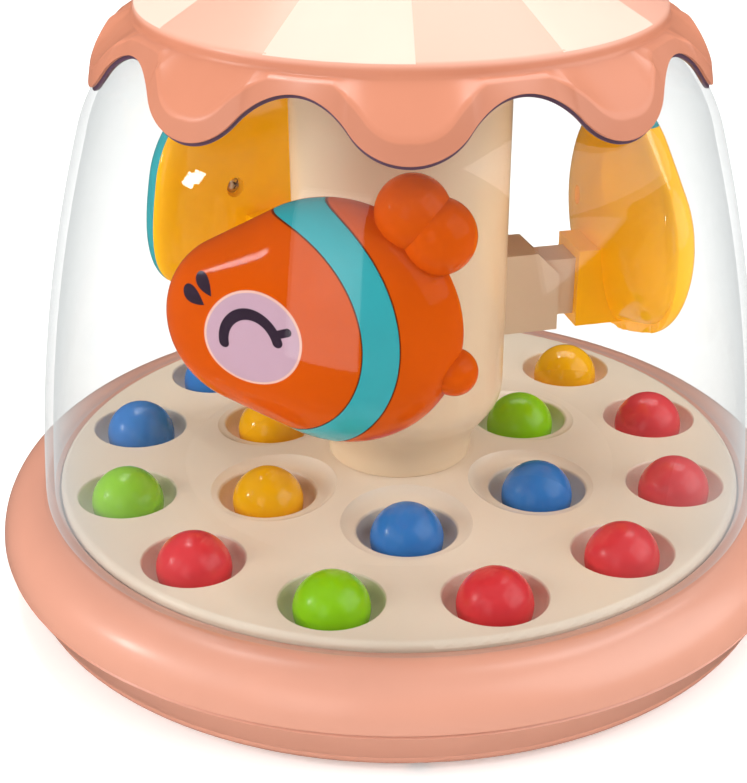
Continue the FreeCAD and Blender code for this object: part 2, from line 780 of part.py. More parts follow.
def column():
    body = new_body("column")
    foot = ("column_foot_radius", "tray_seat")
    waist = ("column_radius", "column_waist")
    floor = "(tray_seat + column_floor)"
    inner_foot = ("column_foot_radius - column_wall", floor)
    inner_waist = ("column_radius - column_wall", "column_waist")
    socket = "(bush_radius + column_wall)"
    spin(body, draw(new_sketch(body, "XZ_Plane"), [
        ("bush_radius", "tray_seat"),
        (*foot, bulged(foot, waist, "foot_bulge")),
        waist,
        ("column_radius", "column_top"),
        ("column_radius - column_wall", "column_top"),
        (*inner_waist, "-" + bulged(inner_waist, inner_foot, "inner_foot_bulge")),
        inner_foot,
        (socket, floor),
        (socket, "tray_seat + bush_socket"),
        ("bush_radius", "tray_seat + bush_socket"),
    ]))
    bore_round(body, "tray_screw_ring", "tray_seat + tray_screw_bite", "tray_screw_bite", "arm_count")
    # An arm has a stepped end, a sloped top corner and a narrower tongue for the fish.
    root = "(column_radius - column_wall)"
    side = draw(new_sketch(body, "YZ_Plane", swing="carousel_turn"), [
        ("-arm_reach", "arm_under"),
        (f"-{root}", "arm_under"),
        (f"-{root}", "arm_under + arm_tall"),
        ("-arm_reach + arm_slope", "arm_under + arm_tall"),
        ("-arm_reach", "arm_under + arm_tall - arm_slope"),
    ])
    arm = extrude(body, side, "arm_wide", both_ways=True)
    end = draw(new_sketch(body, "YZ_Plane", swing="carousel_turn"), rectangle(
        "-tongue_reach", "arm_height - tongue_tall / 2", f"-{root}", "arm_height + tongue_tall / 2"))
    tongue = extrude(body, end, "tongue_wide", both_ways=True)
    repeat_round(body, [arm, tongue], "arm_count")
    return body


# Half of the fish's rounded form: a hull of the head's and the body's spheres about the fish's own centre,
# flattened to the given bulge, on the front (-1) or the back (+1) of the fish's plane.
def fish_half(inset, bulge, side):
    body, head, neck = value("fish_body") - inset, value("fish_head") - inset, value("fish_neck")
    lean = math.acos((head - body) / neck)
    brow, rim, rear = [Vector(math.cos(angle), 0, math.sin(angle))
                       for angle in ((lean + math.pi) / 2, lean, lean / 2)]
    ahead = Vector(-neck, 0, 0)
    nose = ahead - Vector(head, 0, 0)
    tail = Vector(body, 0, 0)
    edges = [
        Part.Arc(nose, ahead + brow * head, ahead + rim * head).toShape(),
        Part.makeLine(ahead + rim * head, rim * body),
        Part.Arc(rim * body, rear * body, tail).toShape(),
        Part.makeLine(tail, nose),
    ]
    solid = Part.Face(Part.Wire(edges)).revolve(ORIGIN, Vector(1, 0, 0), -180 * side)
    flatten = FreeCAD.Matrix()
    flatten.A22 = (bulge - inset) / body
    solid = solid.transformGeometry(flatten)
    solid.rotate(ORIGIN, Vector(0, 1, 0), -value("fish_pitch"))
    return solid


def side_space(side):
    reach = 4 * value("fish_body")
    return Part.makeBox(reach, reach, reach, Vector(-reach / 2, min(side, 0) * reach, -reach / 2))


def fin_ball(radius, reach, angle):
    turn = math.radians(value(angle))
    centre = Vector(math.cos(turn), 0, math.sin(turn)) * value(reach)
    return Part.makeSphere(value(radius), centre)


# Two tail lobes and one small fin, on the orange fish only.
def fish_fins():
    lobe = ("lobe_radius", "lobe_reach")
    return [
        fin_ball(*lobe, "lobe_angle - lobe_spread / 2"),
        fin_ball(*lobe, "lobe_angle + lobe_spread / 2"),
        fin_ball("fin_radius", "fin_reach", "fin_angle"),
    ]


# The space behind the head that the band fills: between two cylinders on a fish with fins,
# or out to the edge of the tail, above a level line, on a fish without.
def band_space(play, finned):
    deep = 2 * value("fish_body")
    low = -deep if finned else play - value("flank_drop")
    space = Part.makeBox(2 * deep, deep, deep - low, Vector(-value("fish_neck"), -deep, low))
    axis = Vector(0, -1, 0)
    inner = Part.makeCylinder(value("band_inner") + play, deep, Vector(-value("band_inner_back"), 0, 0), axis)
    outer = Part.makeCylinder(value("band_outer") - play, deep, Vector(-value("band_outer_back"), 0, 0), axis)
    return (space.common(outer) if finned else space).cut(inner)


def fish_shell(side, bulge, finned):
    solid = fish_half(0, value(bulge), side)
    if finned:
        solid = solid.multiFuse([fin.common(side_space(side)) for fin in fish_fins()]).removeSplitter()
    return solid.cut(fish_half(value("fish_wall"), value(bulge), side))


def fish_pieces(finned):
    front, back = fish_shell(-1, "fish_front", finned), fish_shell(1, "fish_back", finned)
    core = fish_half(value("band_depth"), value("fish_front"), -1)
    skin = fish_half(0, value("fish_front"), -1).cut(core)
    band = skin.common(band_space(value("band_play"), finned))
    front = front.cut(skin.common(band_space(0, finned)))
    # The back's socket takes the arm's tongue.
    wide, tall = value("tongue_wide + 2 * socket_play"), value("tongue_tall + 2 * socket_play")
    wall = value("socket_wall")
    mouth = value("socket_length")
    seat = value("tongue_setback - socket_play")
    left, low = -value("fish_side") - wide / 2, value("arm_height - fish_height") - tall / 2
    sleeve = Part.makeBox(wide + 2 * wall, mouth, tall + 2 * wall, Vector(left - wall, 0, low - wall))
    hole = Part.makeBox(wide, mouth, tall, Vector(left, seat, low))
    back = back.fuse(sleeve).cut(hole)
    # A screw from the back joins the two shells through a pair of posts.
    head, shank = value("screw_head_radius"), value("screw_radius")
    length = value("fish_screw_length")
    centre = Vector(value("fish_screw_side"), 0, value("fish_screw_rise"))
    inward = Vector(0, 1, 0)
    head_seat = centre + inward * value("fish_screw_seat")
    post = head + value("fish_wall")
    front_post = Part.makeCylinder(post, value("fish_front"), centre, -inward).common(core)
    back_post = Part.makeCylinder(post, value("fish_screw_seat + fish_wall"), centre, inward)
    well = Part.makeCylinder(head + value("screw_play"), value("fish_back"), head_seat, inward)
    thread = Part.makeCylinder(shank, length, head_seat, -inward)
    front = front.fuse(front_post).cut(thread)
    back = back.fuse(back_post).cut(well).cut(thread)
    fastener = thread.fuse(Part.makeCylinder(head, value("screw_head_height"), head_seat, inward))
    return [shape.removeSplitter() for shape in (front, band, back, fastener)]


def fish():
    place = Vector(value("fish_side"), -value("fish_plane"), value("fish_height"))
    step = 360 / value("arm_count")
    for index, name in enumerate(("orange", "yellow_right", "yellow_left")):
        front, band, back, fastener = fish_pieces(name == "orange")
        turn = value("carousel_turn") + step * index
        shape_part(f"fish_{name}_front", front, place, turn)
        shape_part(f"fish_{name}_band", band, place, turn)
        shape_part(f"fish_{name}_back", back, place, turn)
    fastener.translate(place)
    ring_of("fish_screws", fastener, int(value("arm_count")), value("carousel_turn"))


# A ring of saw teeth for the clutch, pointing up or down from a flat seat.
def saw_teeth(body, seat, direction):
    half = "(pi * (tooth_inner + tooth_length / 2) / tooth_count)"
    tip = f"{seat} {'+' if direction > 0 else '-'} tooth_rise"
    corners = [(f"-{half}", seat), (half, seat), (half, tip)]
    if direction < 0:
        corners = [(half, seat), (f"-{half}", seat), (f"-{half}", tip)]
    tooth = draw(new_sketch(body, "XZ_Plane", offset="tooth_inner"), corners)
    repeat_round(body, [extrude(body, tooth, "tooth_length")], "tooth_count")


def press_drive():
    cap = turned_body("column_cap", [
        ("bar_hole", "clutch_floor - cup_wall"),
        ("clutch_radius + cup_wall", "clutch_floor - cup_wall"),
        ("clutch_radius + cup_wall", "column_top"),
        ("column_radius", "column_top"),
        ("column_radius", "cap_top"),
        ("clutch_radius", "cap_top"),
        ("clutch_radius", "clutch_floor"),
        ("bar_hole", "clutch_floor"),
    ])
    saw_teeth(cap, "clutch_floor", 1)
    bore_round(cap, "cap_screw_ring", "cap_top", "2 * cap_thickness", "cap_screw_count")
    neck = turned_body("neck", [
        ("neck_bore", "cap_top"),
        ("neck_flange", "cap_top"),
        ("neck_flange", "cap_top + neck_flange_thickness"),
        ("neck_radius", "cap_top + neck_flange_thickness"),
        ("neck_radius", "neck_top"),
        ("neck_bore", "neck_top"),
    ])
    flange_top = "cap_top + neck_flange_thickness"
    bore_round(neck, "cap_screw_ring", flange_top, "2 * neck_flange_thickness", "cap_screw_count")
    nut = loose_body("nut_blank")
    disc = draw_circle(new_sketch(nut, "XY_Plane", "nut_under"), "0", "0", "clutch_radius - clutch_play")
    extrude(nut, disc, "nut_thickness")
    saw_teeth(nut, "nut_under", -1)
    doc.recompute()
    slot = twisted_bar(value("bar_wide + 2 * bar_play"), value("bar_thick + 2 * bar_play"),
                       value("clutch_floor"), value("cap_top"))
    shape_part("drive_nut", nut.Shape.cut(slot))
    bar = twisted_bar(value("bar_wide"), value("bar_thick"), value("bar_bottom"), value("bar_head_under"))
    head = Part.makeCylinder(value("bar_head"), value("bar_head_length"),
                             Vector(0, 0, value("bar_head_under")))
    shape_part("twisted_bar", bar.fuse(head).removeSplitter())


# A flat bar twisted evenly about the upright axis; the twist at a height follows from the lead alone.
def twisted_bar(wide, thick, low, high):
    steps = math.ceil((high - low) / value("bar_lead / twist_steps"))
    sections = []
    for index in range(steps + 1):
        height = low + (high - low) * index / steps
        corners = [(-wide, -thick), (wide, -thick), (wide, thick), (-wide, thick), (-wide, -thick)]
        section = Part.makePolygon([Vector(x / 2, y / 2, height) for x, y in corners])
        section.rotate(ORIGIN, UP, 360 * height / value("bar_lead"))
        sections.append(section)
    return Part.makeLoft(sections, True, False)


def press_knob():
    crown_rise = "(knob_top - knob_side_top)"
    crown = f"(knob_radius^2 + {crown_rise}^2) / (2 * {crown_rise})"
    stem = "(bar_head + stem_wall)"
    knob = turned_body("press_knob", [
        ("0", "bar_top"),
        ("bar_head", "bar_top"),
        ("bar_head", "bar_head_under"),
        (stem, "bar_head_under"),
        (stem, "knob_ceiling"),
        ("knob_radius - knob_wall", "knob_ceiling"),
        ("knob_radius - knob_wall", "knob_under"),
        ("knob_radius + knob_flange", "knob_under"),
        ("knob_radius + knob_flange", "knob_flange_top"),
        ("knob_radius", "knob_flange_top"),
        ("knob_radius", "knob_side_top", crown),
        ("0", "knob_top"),
    ])
    key = draw(new_sketch(knob, "XY_Plane", "knob_under"), rectangle(
        "knob_radius", "-key_wide / 2", "knob_radius + knob_flange + key_reach", "key_wide / 2"))
    repeat_round(knob, [extrude(knob, key, "knob_flange_thickness")], "key_count")
    seat, top = value("bush_seat") + value("spring_wire"), value("knob_ceiling") - value("spring_wire")
    # The return spring winds in quarter turns, each one arc through three points of its helix.
    eighths = 8 * int(value("spring_turns"))
    points = []
    for index in range(eighths + 1):
        angle = math.pi / 4 * index
        height = seat + (top - seat) * index / eighths
        points.append(Vector(math.cos(angle), math.sin(angle), 0) * value("spring_radius") + UP * height)
    arcs = [Part.Arc(*points[index:index + 3]).toShape() for index in range(0, eighths, 2)]
    ring = Part.Wire(Part.makeCircle(value("spring_wire"), points[0], Vector(0, 1, 0)))
    shape_part("knob_spring", Part.Wire(arcs).makePipeShell([ring], True, False))


def music_works():
    hub = "(bush_radius + hub_wall)"
    drum = loose_body("drum_blank")
    spin(drum, draw(new_sketch(drum, "XZ_Plane"), [
        ("drum_radius - drum_wall", "comb_under"),
        ("drum_radius", "comb_under"),
        ("drum_radius", "comb_under + comb_tall + drum_web"),
        (hub, "comb_under + comb_tall + drum_web"),
        (hub, "comb_under + comb_tall"),
        ("drum_radius - drum_wall", "comb_under + comb_tall"),
    ]))
    doc.recompute()
    notes = int(value("note_count"))
    total = notes * int(value("pins_per_note"))
    pins = []
    for index in range(total):
        angle = math.radians(360 * index / total + value("pin_stagger") * (index % notes))
        outward = Vector(math.cos(angle), math.sin(angle), 0)
        height = value("comb_under") + (index % notes + 0.5) * value("note_pitch")
        foot = outward * (value("drum_radius") - value("drum_wall") / 2) + UP * height
        length = value("pin_length") + value("drum_wall") / 2
        pins.append(Part.makeCylinder(value("pin_radius"), length, foot, outward))
    shape_part("pin_drum", drum.Shape.multiFuse(pins).removeSplitter())
    comb = new_body("comb")
    comb_end = "(comb_tip + comb_length)"
    blade = draw(new_sketch(comb, "XZ_Plane"), rectangle(
        "comb_tip", "comb_under", comb_end, "comb_under + comb_tall"))
    extrude(comb, blade, "comb_thickness", both_ways=True)
    cut = draw(new_sketch(comb, "XZ_Plane"), rectangle(
        "comb_tip - slit", "comb_under + note_pitch - slit / 2", f"{comb_end} - comb_back",
        "comb_under + note_pitch + slit / 2"))
    slit = extrude(comb, cut, "2 * comb_thickness", "Pocket", both_ways=True)
    rows = comb.newObject("PartDesign::LinearPattern", "comb_teeth")
    rows.Originals = [slit]
    rows.Direction = (origin_part(comb, "Z_Axis"), [""])
    rows.setExpression("Length", formula("(note_count - 2) * note_pitch"))
    rows.setExpression("Occurrences", formula("note_count - 1"))
    comb.Tip = rows
    block = new_body("comb_block")
    foot = draw(new_sketch(block, "XY_Plane", "pan_top"), rectangle(
        f"{comb_end} - comb_back", "comb_thickness / 2", comb_end, "comb_thickness / 2 + block_thickness"))
    extrude(block, foot, "comb_under + comb_tall - pan_top")
    screws = []
    for height in ("note_pitch * 2", "note_pitch * (note_count - 2)"):
        seat = Vector(value(f"{comb_end} - comb_back / 2"), -value("comb_thickness") / 2,
                      value(f"comb_under + {height}"))
        screws.append(Part.makeCylinder(value("comb_screw_radius"), value("comb_screw_height"), seat,
                                        Vector(0, -1, 0)))
    shape_part("comb_screws", Part.makeCompound(screws))


def carousel_fittings():
    bore = "spindle_radius + spindle_play"
    turned_body("lower_bush", [
        (bore, "bush_under"),
        ("bush_radius + bush_flange", "bush_under"),
        ("bush_radius + bush_flange", "hub_under"),
        ("bush_radius", "hub_under"),
        ("bush_radius", "tray_seat + bush_socket"),
        (bore, "tray_seat + bush_socket"),
    ])
    seat = value("tray_top - tray_wall")
    length = value("seat_rise + tray_wall + tray_screw_bite")
    ring_of("tray_screws", screw(value("tray_screw_ring"), seat, length), int(value("arm_count")))
    cap_seat = value("cap_top + neck_flange_thickness")
    depth = value("neck_flange_thickness + cap_thickness")
    ring_of("cap_screws", screw(value("cap_screw_ring"), cap_seat, -depth), int(value("cap_screw_count")))


def main():
    base_pan()
    base_rim()
    base_fittings()
    dome()
    canopy()
    roof_panels()
    canopy_fittings()
    ball_tray()
    balls()
    column()
    fish()
    press_drive()
    press_knob()
    music_works()
    carousel_fittings()
    doc.recompute()
    failed = [item.Label for item in doc.Objects if {"Invalid", "Error"} & set(item.State)]
    failed += [part.Label for part in subparts if part.Shape.isNull() or not part.Shape.isValid()]
    if failed:
        raise SystemExit(f"not built: {failed}")
    os.makedirs("parts", exist_ok=True)
    for part in subparts:
        part.Shape.exportStep(f"parts/{part.Label}.step")
    print(f"{len(subparts)} sub-parts written")


main()
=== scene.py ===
import json
import math
import random

import bmesh
import bpy
from mathutils import Matrix, Vector


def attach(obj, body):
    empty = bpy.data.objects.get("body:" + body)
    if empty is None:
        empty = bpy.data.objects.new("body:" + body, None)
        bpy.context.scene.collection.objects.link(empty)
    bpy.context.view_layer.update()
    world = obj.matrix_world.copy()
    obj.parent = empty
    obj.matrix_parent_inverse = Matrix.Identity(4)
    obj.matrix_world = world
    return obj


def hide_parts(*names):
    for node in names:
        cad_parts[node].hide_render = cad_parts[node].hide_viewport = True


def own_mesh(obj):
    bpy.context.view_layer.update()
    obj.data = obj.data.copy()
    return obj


# A press-and-spin carousel music box: pink base, clear dome, fish and balls on a turning tray, striped canopy.

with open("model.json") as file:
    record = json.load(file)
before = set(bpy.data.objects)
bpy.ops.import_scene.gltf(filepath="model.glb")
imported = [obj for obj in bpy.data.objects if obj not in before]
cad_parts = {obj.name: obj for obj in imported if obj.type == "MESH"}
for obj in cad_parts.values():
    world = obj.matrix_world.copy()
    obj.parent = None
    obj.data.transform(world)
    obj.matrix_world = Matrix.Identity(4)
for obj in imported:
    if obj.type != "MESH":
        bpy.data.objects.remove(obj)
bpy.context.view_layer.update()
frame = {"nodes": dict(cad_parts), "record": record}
nodes = frame["nodes"]
mm = 0.001


class Field:  # a socket in a material, so that shader maths reads as plain expressions
    def __init__(self, tree, socket=None):
        self.tree = tree
        self.socket = socket

    # any node: its settings first, then the values or links of its sockets; gives its outputs
    def node(self, kind, settings=None, sockets=None):
        made = self.tree.nodes.new(kind)
        for name, setting in (settings or {}).items():
            if name == "stops":
                ramp = made.color_ramp
                ramp.interpolation = "CONSTANT"
                while len(ramp.elements) < len(setting):
                    ramp.elements.new(0.5)
                for element, (position, colour) in zip(ramp.elements, setting):
                    element.position = position
                    element.color = colour
            else:
                setattr(made, name, setting)
        for name, entry in (sockets or {}).items():
            slot = made.inputs[name] if isinstance(name, int) else next(
                one for one in made.inputs if name in (one.identifier, one.name))
            if isinstance(entry, Field):
                self.tree.links.new(entry.socket, slot)
            else:
                slot.default_value = entry
        return {one.identifier: Field(self.tree, one) for one in made.outputs}

    def maths(self, operation, *values):
        return self.node("ShaderNodeMath", {"operation": operation}, dict(enumerate(values)))["Value"]

    def __add__(self, other):
        return self.maths("ADD", self, other)

    def __sub__(self, other):
        return self.maths("SUBTRACT", self, other)

    def __rsub__(self, other):
        return self.maths("SUBTRACT", other, self)

    def __mul__(self, other):
        return self.maths("MULTIPLY", self, other)

    def __truediv__(self, other):
        return self.maths("DIVIDE", self, other)

    def __pow__(self, other):
        return self.maths("POWER", self, other)

    def __abs__(self):
        return self.maths("ABSOLUTE", self)

    __radd__ = __add__
    __rmul__ = __mul__

    def least(self, other):
        return self.maths("MINIMUM", self, other)

    def most(self, other):
        return self.maths("MAXIMUM", self, other)

    # 0 below the first edge and 1 above the second, with a soft step between
    def step(self, low, high):
        sockets = {"Value": self, "From Min": low, "From Max": high}
        return self.node("ShaderNodeMapRange", {"interpolation_type": "SMOOTHSTEP"}, sockets)["Result"]

    # this value picks between two colours
    def blend(self, first, second):
        sockets = {"Factor_Float": self, "A_Color": first, "B_Color": second}
        return self.node("ShaderNodeMix", {"data_type": "RGBA"}, sockets)["Result_Color"]


def newPaint(name):
    material = bpy.data.materials.new(name)
    material.use_nodes = True
    material.node_tree.nodes.clear()
    return material, Field(material.node_tree)


def closePaint(material, paint, shader):
    paint.node("ShaderNodeOutputMaterial", sockets={"Surface": shader})
    return material


def colour(red, green, blue):  # from the eye's 0 to 255 to the linear scale of light
    def line(value):
        part = value / 255
        return part / 12.92 if part <= 0.04045 else ((part + 0.055) / 1.055) ** 2.4
    return (line(red), line(green), line(blue), 1)


def shaded(tint, factor):
    return (tint[0] * factor, tint[1] * factor, tint[2] * factor, 1)


def noise(paint, place, scale, detail):
    return paint.node("ShaderNodeTexNoise", sockets={"Vector": place, "Scale": scale, "Detail": detail})["Fac"]


# shares that all the plastics have
plastic = dict(
    darkCloud=0.965, paleCloud=1.02, cloudRough=0.08, grainDeep=0.02, ior=1.5, specular=0.5, coatRough=0.22,
    glowReach=(1.0, 0.6, 0.4), glowDeep=2,
)


# faint clouding of the pigment and the fine grain that the mould leaves
def plasticBase(paint, look):
    place = paint.node("ShaderNodeTexCoord")["Object"]
    cloud = noise(paint, place, look["cloud"], 4)
    grain = noise(paint, place, look["grain"], 2)
    dark, pale = shaded(look["colour"], plastic["darkCloud"]), shaded(look["colour"], plastic["paleCloud"])
    return place, cloud, grain, cloud.step(0.3, 0.7).blend(dark, pale)


# the emission is painted light on the yellow fish and the tray's cups, and an even glow on the floor and backdrop
def plasticShader(paint, look, cloud, grain, tint, rough, paintedLightTint=None):
    bump = paint.node("ShaderNodeBump", sockets={
        "Strength": look["bump"], "Distance": plastic["grainDeep"] * mm, "Height": grain})["Normal"]
    return paint.node("ShaderNodeBsdfPrincipled", sockets={
        "Base Color": tint, "Roughness": rough + (cloud - 0.5) * plastic["cloudRough"], "Normal": bump,
        "IOR": plastic["ior"], "Specular IOR Level": look.get("specular", plastic["specular"]),
        "Coat Weight": look.get("coat", 0.0), "Coat Roughness": plastic["coatRough"],
        "Subsurface Weight": look.get("glow", 0.0), "Subsurface Radius": plastic["glowReach"],
        "Subsurface Scale": plastic["glowDeep"] * mm,
        "Emission Color": paintedLightTint or tint, "Emission Strength": look.get("lit", 0.0)})["BSDF"]


def mouldedPlastic(name, look):
    material, paint = newPaint(name)
    cloud, grain, tint = plasticBase(paint, look)[1:]
    return closePaint(material, paint, plasticShader(paint, look, cloud, grain, tint, look["rough"]))


finishes = {
    "pink": dict(colour=colour(205, 144, 121), rough=0.32, cloud=30, grain=2200, bump=0.15, coat=0.5),
    "cream": dict(colour=colour(236, 219, 198), rough=0.24, cloud=30, grain=2200, bump=0.1),
    # a warmer copy of the cream for the column, cap and neck: painted warm bounce light in their shade
    "columnBounceCream": dict(colour=colour(238, 212, 178), rough=0.24, cloud=30, grain=2200, bump=0.1),
    "orange": dict(
        colour=colour(212, 84, 4), rough=0.07, specular=0.12, cloud=60, grain=2600, bump=0.06, glow=0.08),
    # lit on the yellow is a painted glow, standing in for light shining through the plastic and filling its shade
    "yellow": dict(colour=colour(255, 184, 4), rough=0.1, cloud=60, grain=2600, bump=0.06, glow=0.08, lit=0.28),
    "teal": dict(colour=colour(52, 168, 176), rough=0.22, cloud=60, grain=2600, bump=0.06),
    "red": dict(colour=colour(214, 44, 52), rough=0.24, cloud=80, grain=2600, bump=0.08, glow=0.06),
    "green": dict(colour=colour(134, 196, 4), rough=0.24, cloud=80, grain=2600, bump=0.08, glow=0.06),
    "blue": dict(colour=colour(52, 122, 196), rough=0.24, cloud=80, grain=2600, bump=0.08, glow=0.06),
    "bearing": dict(colour=colour(232, 232, 228), rough=0.45, cloud=60, grain=1800, bump=0.1),
    "foot_rubber": dict(colour=colour(150, 142, 136), rough=0.75, cloud=120, grain=1500, bump=0.4),
}


def turnedMetal(name, look):
    material, paint = newPaint(name)
    place = paint.node("ShaderNodeTexCoord")["Object"]
    stretched = paint.node("ShaderNodeMapping", sockets={"Vector": place, "Scale": look["stretch"]})["Vector"]
    lines = noise(paint, stretched, 8, 5)
    tint = lines.blend(shaded(look["colour"], look["dark"]), look["colour"])
    shader = paint.node("ShaderNodeBsdfPrincipled", sockets={
        "Base Color": tint, "Metallic": 1.0, "Roughness": look["rough"] + (lines - 0.5) * look["uneven"]})["BSDF"]
    return closePaint(material, paint, shader)


turned = dict(stretch=(40, 40, 900), dark=0.88, uneven=0.2)
metals = {
    "steel": dict(turned, colour=(0.62, 0.62, 0.63, 1), rough=0.3),
    "brass": dict(turned, colour=(0.8, 0.6, 0.28, 1), rough=0.32),
}

dome = dict(
    mirror=0.03, rimMirror=0.16, rough=0.03, edgeTint=(0.9, 0.91, 0.912, 1), clearTint=(0.942, 0.946, 0.945, 1),
    # paintedReflection: how strongly the wall glows pale at grazing angles, a painted reflection of the room
    paintedReflection=0.7, paintedReflectionTint=(0.78, 0.8, 0.8, 1), mirrorPower=5, edgePower=4,
)


def clearPlastic(name, look):
    material, paint = newPaint(name)
    facing = paint.node("ShaderNodeLayerWeight", sockets={"Blend": 0.5})["Facing"]
    sheen = look["mirror"] + look["rimMirror"] * facing ** look["mirrorPower"]
    body = paint.node("ShaderNodeBsdfTransparent", sockets={"Color": look["clearTint"]})["BSDF"]
    edge = paint.node("ShaderNodeBsdfTransparent", sockets={"Color": look["edgeTint"]})["BSDF"]
    grazing = facing ** look["edgePower"]
    through = paint.node("ShaderNodeMixShader", sockets={"Fac": grazing, 1: body, 2: edge})["Shader"]
    gloss = paint.node("ShaderNodeBsdfPrincipled", sockets={
        "Base Color": (1, 1, 1, 1), "Metallic": 1.0, "Roughness": look["rough"]})["BSDF"]
    shader = paint.node("ShaderNodeMixShader", sockets={"Fac": sheen, 1: through, 2: gloss})["Shader"]
    # painted reflection: at grazing angles the wall glows a pale grey, in place of a mirror image of the pale
    # room
    pale = paint.node("ShaderNodeEmission", sockets={"Color": look["paintedReflectionTint"]})["Emission"]
    withPaintedReflection = paint.node("ShaderNodeMixShader", sockets={"Fac": look["paintedReflection"] * grazing, 1: shader, 2: pale})
    return closePaint(material, paint, withPaintedReflection["Shader"])


paints = {name: mouldedPlastic(name, look) for name, look in finishes.items()}
paints.update({name: turnedMetal(name, look) for name, look in metals.items()})
paints["clear"] = clearPlastic("clear", dome)
slotOf = {row["node"]: row["material_slot"] for row in frame["record"]["subparts"]}
for name, piece in nodes.items():
    piece.data.materials.clear()
    # the column, cap and neck take the warmer cream, painted warm bounce light
    warmBounce = name in ("column", "column_cap", "neck")
    piece.data.materials.append(paints["columnBounceCream" if warmBounce else slotOf[name]])
print("finishes on", len(nodes), "pieces")

# printed faces, in millimetres on each fish: across to the right and up, seen from outside
fishPrint = dict(
    middle=(1.5, -58, 91), turns={"orange": -17.8, "yellow_right": 102.2, "yellow_left": 222.2},
    ink=colour(52, 38, 52), patch=colour(198, 162, 178), patchEdge=colour(236, 190, 172),
    patchMiddle=(-15.3, -0.6), patchLong=12.3, patchShort=10.6, patchAlong=(0.90, 0.434), edgeWide=0.5,
    eyeMiddle=(-15.6, -1.7), eyeRadius=6.8, eyeFrom=16, eyeTo=187, eyeStroke=2.5,
    lash=((-9.2, 1.9), (-6.6, 2.9)), lashStroke=1.9,
    brows=[((-29.2, 11.1), (-25.3, 6.8), 1.75), ((-32.7, 7.4), (-27.0, 4.7), 1.9)],
    # seamShadows: circles along the edges of the orange fish's band, drawn dark: painted shadow in the gap
    # between band and shell
    seamShadows=[(24.7, -15.0), (30.1, -12.8)], seamWide=0.32, seamShadow=0.28, soft=0.12,
    # yellowPaintedGlow: the painted glow of the yellow shells, stronger on the fronts than on the backs
    inkRough=0.08, yellowPaintedGlow={"front": 0.36, "back": 0.2},
)


# 1 inside a capsule of the given width from one point to another
def capsule(across, up, first, second, width, soft):
    run = (second[0] - first[0], second[1] - first[1])
    length = run[0] ** 2 + run[1] ** 2
    share = ((across - first[0]) * (run[0] / length) + (up - first[1]) * (run[1] / length)).most(0).least(1)
    aside = ((across - first[0] - share * run[0]) ** 2 + (up - first[1] - share * run[1]) ** 2) ** 0.5
    return 1 - aside.step(width / 2 - soft, width / 2 + soft)


# 1 inside a drop that is broad near its first point and ends at its second
def teardrop(across, up, first, second, halfWidth, soft):
    run = Vector(second) - Vector(first)
    length = run.length
    run = run / length
    along = ((across - first[0]) * run.x + (up - first[1]) * run.y) / length
    aside = abs((up - first[1]) * run.x - (across - first[0]) * run.y)
    inside = along.most(0).least(1)
    girth = 2.6 * halfWidth * inside ** 0.5 * (1 - inside)  # full a third of the way along
    return (girth - aside).step(0, 2 * soft)


def closedEye(across, up, look):
    right, high = across - look["eyeMiddle"][0], up - look["eyeMiddle"][1]
    reach = (right ** 2 + high ** 2) ** 0.5
    middle = math.radians((look["eyeFrom"] + look["eyeTo"]) / 2)
    spread = math.radians((look["eyeTo"] - look["eyeFrom"]) / 2)
    inArc = right * math.cos(middle) + high * math.sin(middle) - reach * math.cos(spread)
    half, soft = look["eyeStroke"] / 2, look["soft"]
    mask = (1 - abs(reach - look["eyeRadius"]).step(half - soft, half + soft)) * inArc.step(-0.01, 0.01)
    for turn in (look["eyeFrom"], look["eyeTo"]):
        tip = (look["eyeMiddle"][0] + look["eyeRadius"] * math.cos(math.radians(turn)),
               look["eyeMiddle"][1] + look["eyeRadius"] * math.sin(math.radians(turn)))
        away = ((across - tip[0]) ** 2 + (up - tip[1]) ** 2) ** 0.5
        mask = mask.most(1 - away.step(half - soft, half + soft))
    return mask


def fishSkin(name, finish, turn, face, seamShadows, look):
    material, paint = newPaint(name)
    place, cloud, grain, tint = plasticBase(paint, finish)
    shift = tuple(-value * mm for value in look["middle"])
    local = paint.node("ShaderNodeMapping", sockets={
        "Vector": place, "Rotation": (0, 0, -math.radians(turn)), "Location": shift})["Vector"]
    split = paint.node("ShaderNodeSeparateXYZ", sockets={"Vector": local})
    across, up = split["X"] / mm, split["Z"] / mm
    rough = finish["rough"]
    # painted shadow: a dark line along each edge of the band, where the gap between band and shell lies in shade
    for radius, back in seamShadows:
        away = abs(((across - back) ** 2 + up ** 2) ** 0.5 - radius)
        line = 1 - away.step(look["seamWide"] / 2, look["seamWide"])
        tint = line.blend(tint, shaded(finish["colour"], look["seamShadow"]))
    if face:
        soft = look["soft"]
        right, high = across - look["patchMiddle"][0], up - look["patchMiddle"][1]
        along, beside = look["patchAlong"]
        reach = (((right * along + high * beside) / look["patchLong"]) ** 2
                 + ((high * along - right * beside) / look["patchShort"]) ** 2) ** 0.5
        blur = soft / look["patchShort"]
        edge = 1 - look["edgeWide"] / look["patchShort"]
        tint = (1 - reach.step(1 - blur, 1 + blur)).blend(tint, look["patchEdge"])
        tint = (1 - reach.step(edge - blur, edge + blur)).blend(tint, look["patch"])
        ink = closedEye(across, up, look)
        ink = ink.most(capsule(across, up, *look["lash"], look["lashStroke"], soft))
        for first, second, halfWidth in look["brows"]:
            ink = ink.most(teardrop(across, up, first, second, halfWidth, soft))
        tint = ink.blend(tint, look["ink"])
        rough = finish["rough"] + look["inkRough"] * (1 - reach.step(1 - blur, 1 + blur)).most(ink)
    return closePaint(material, paint, plasticShader(paint, finish, cloud, grain, tint, rough))


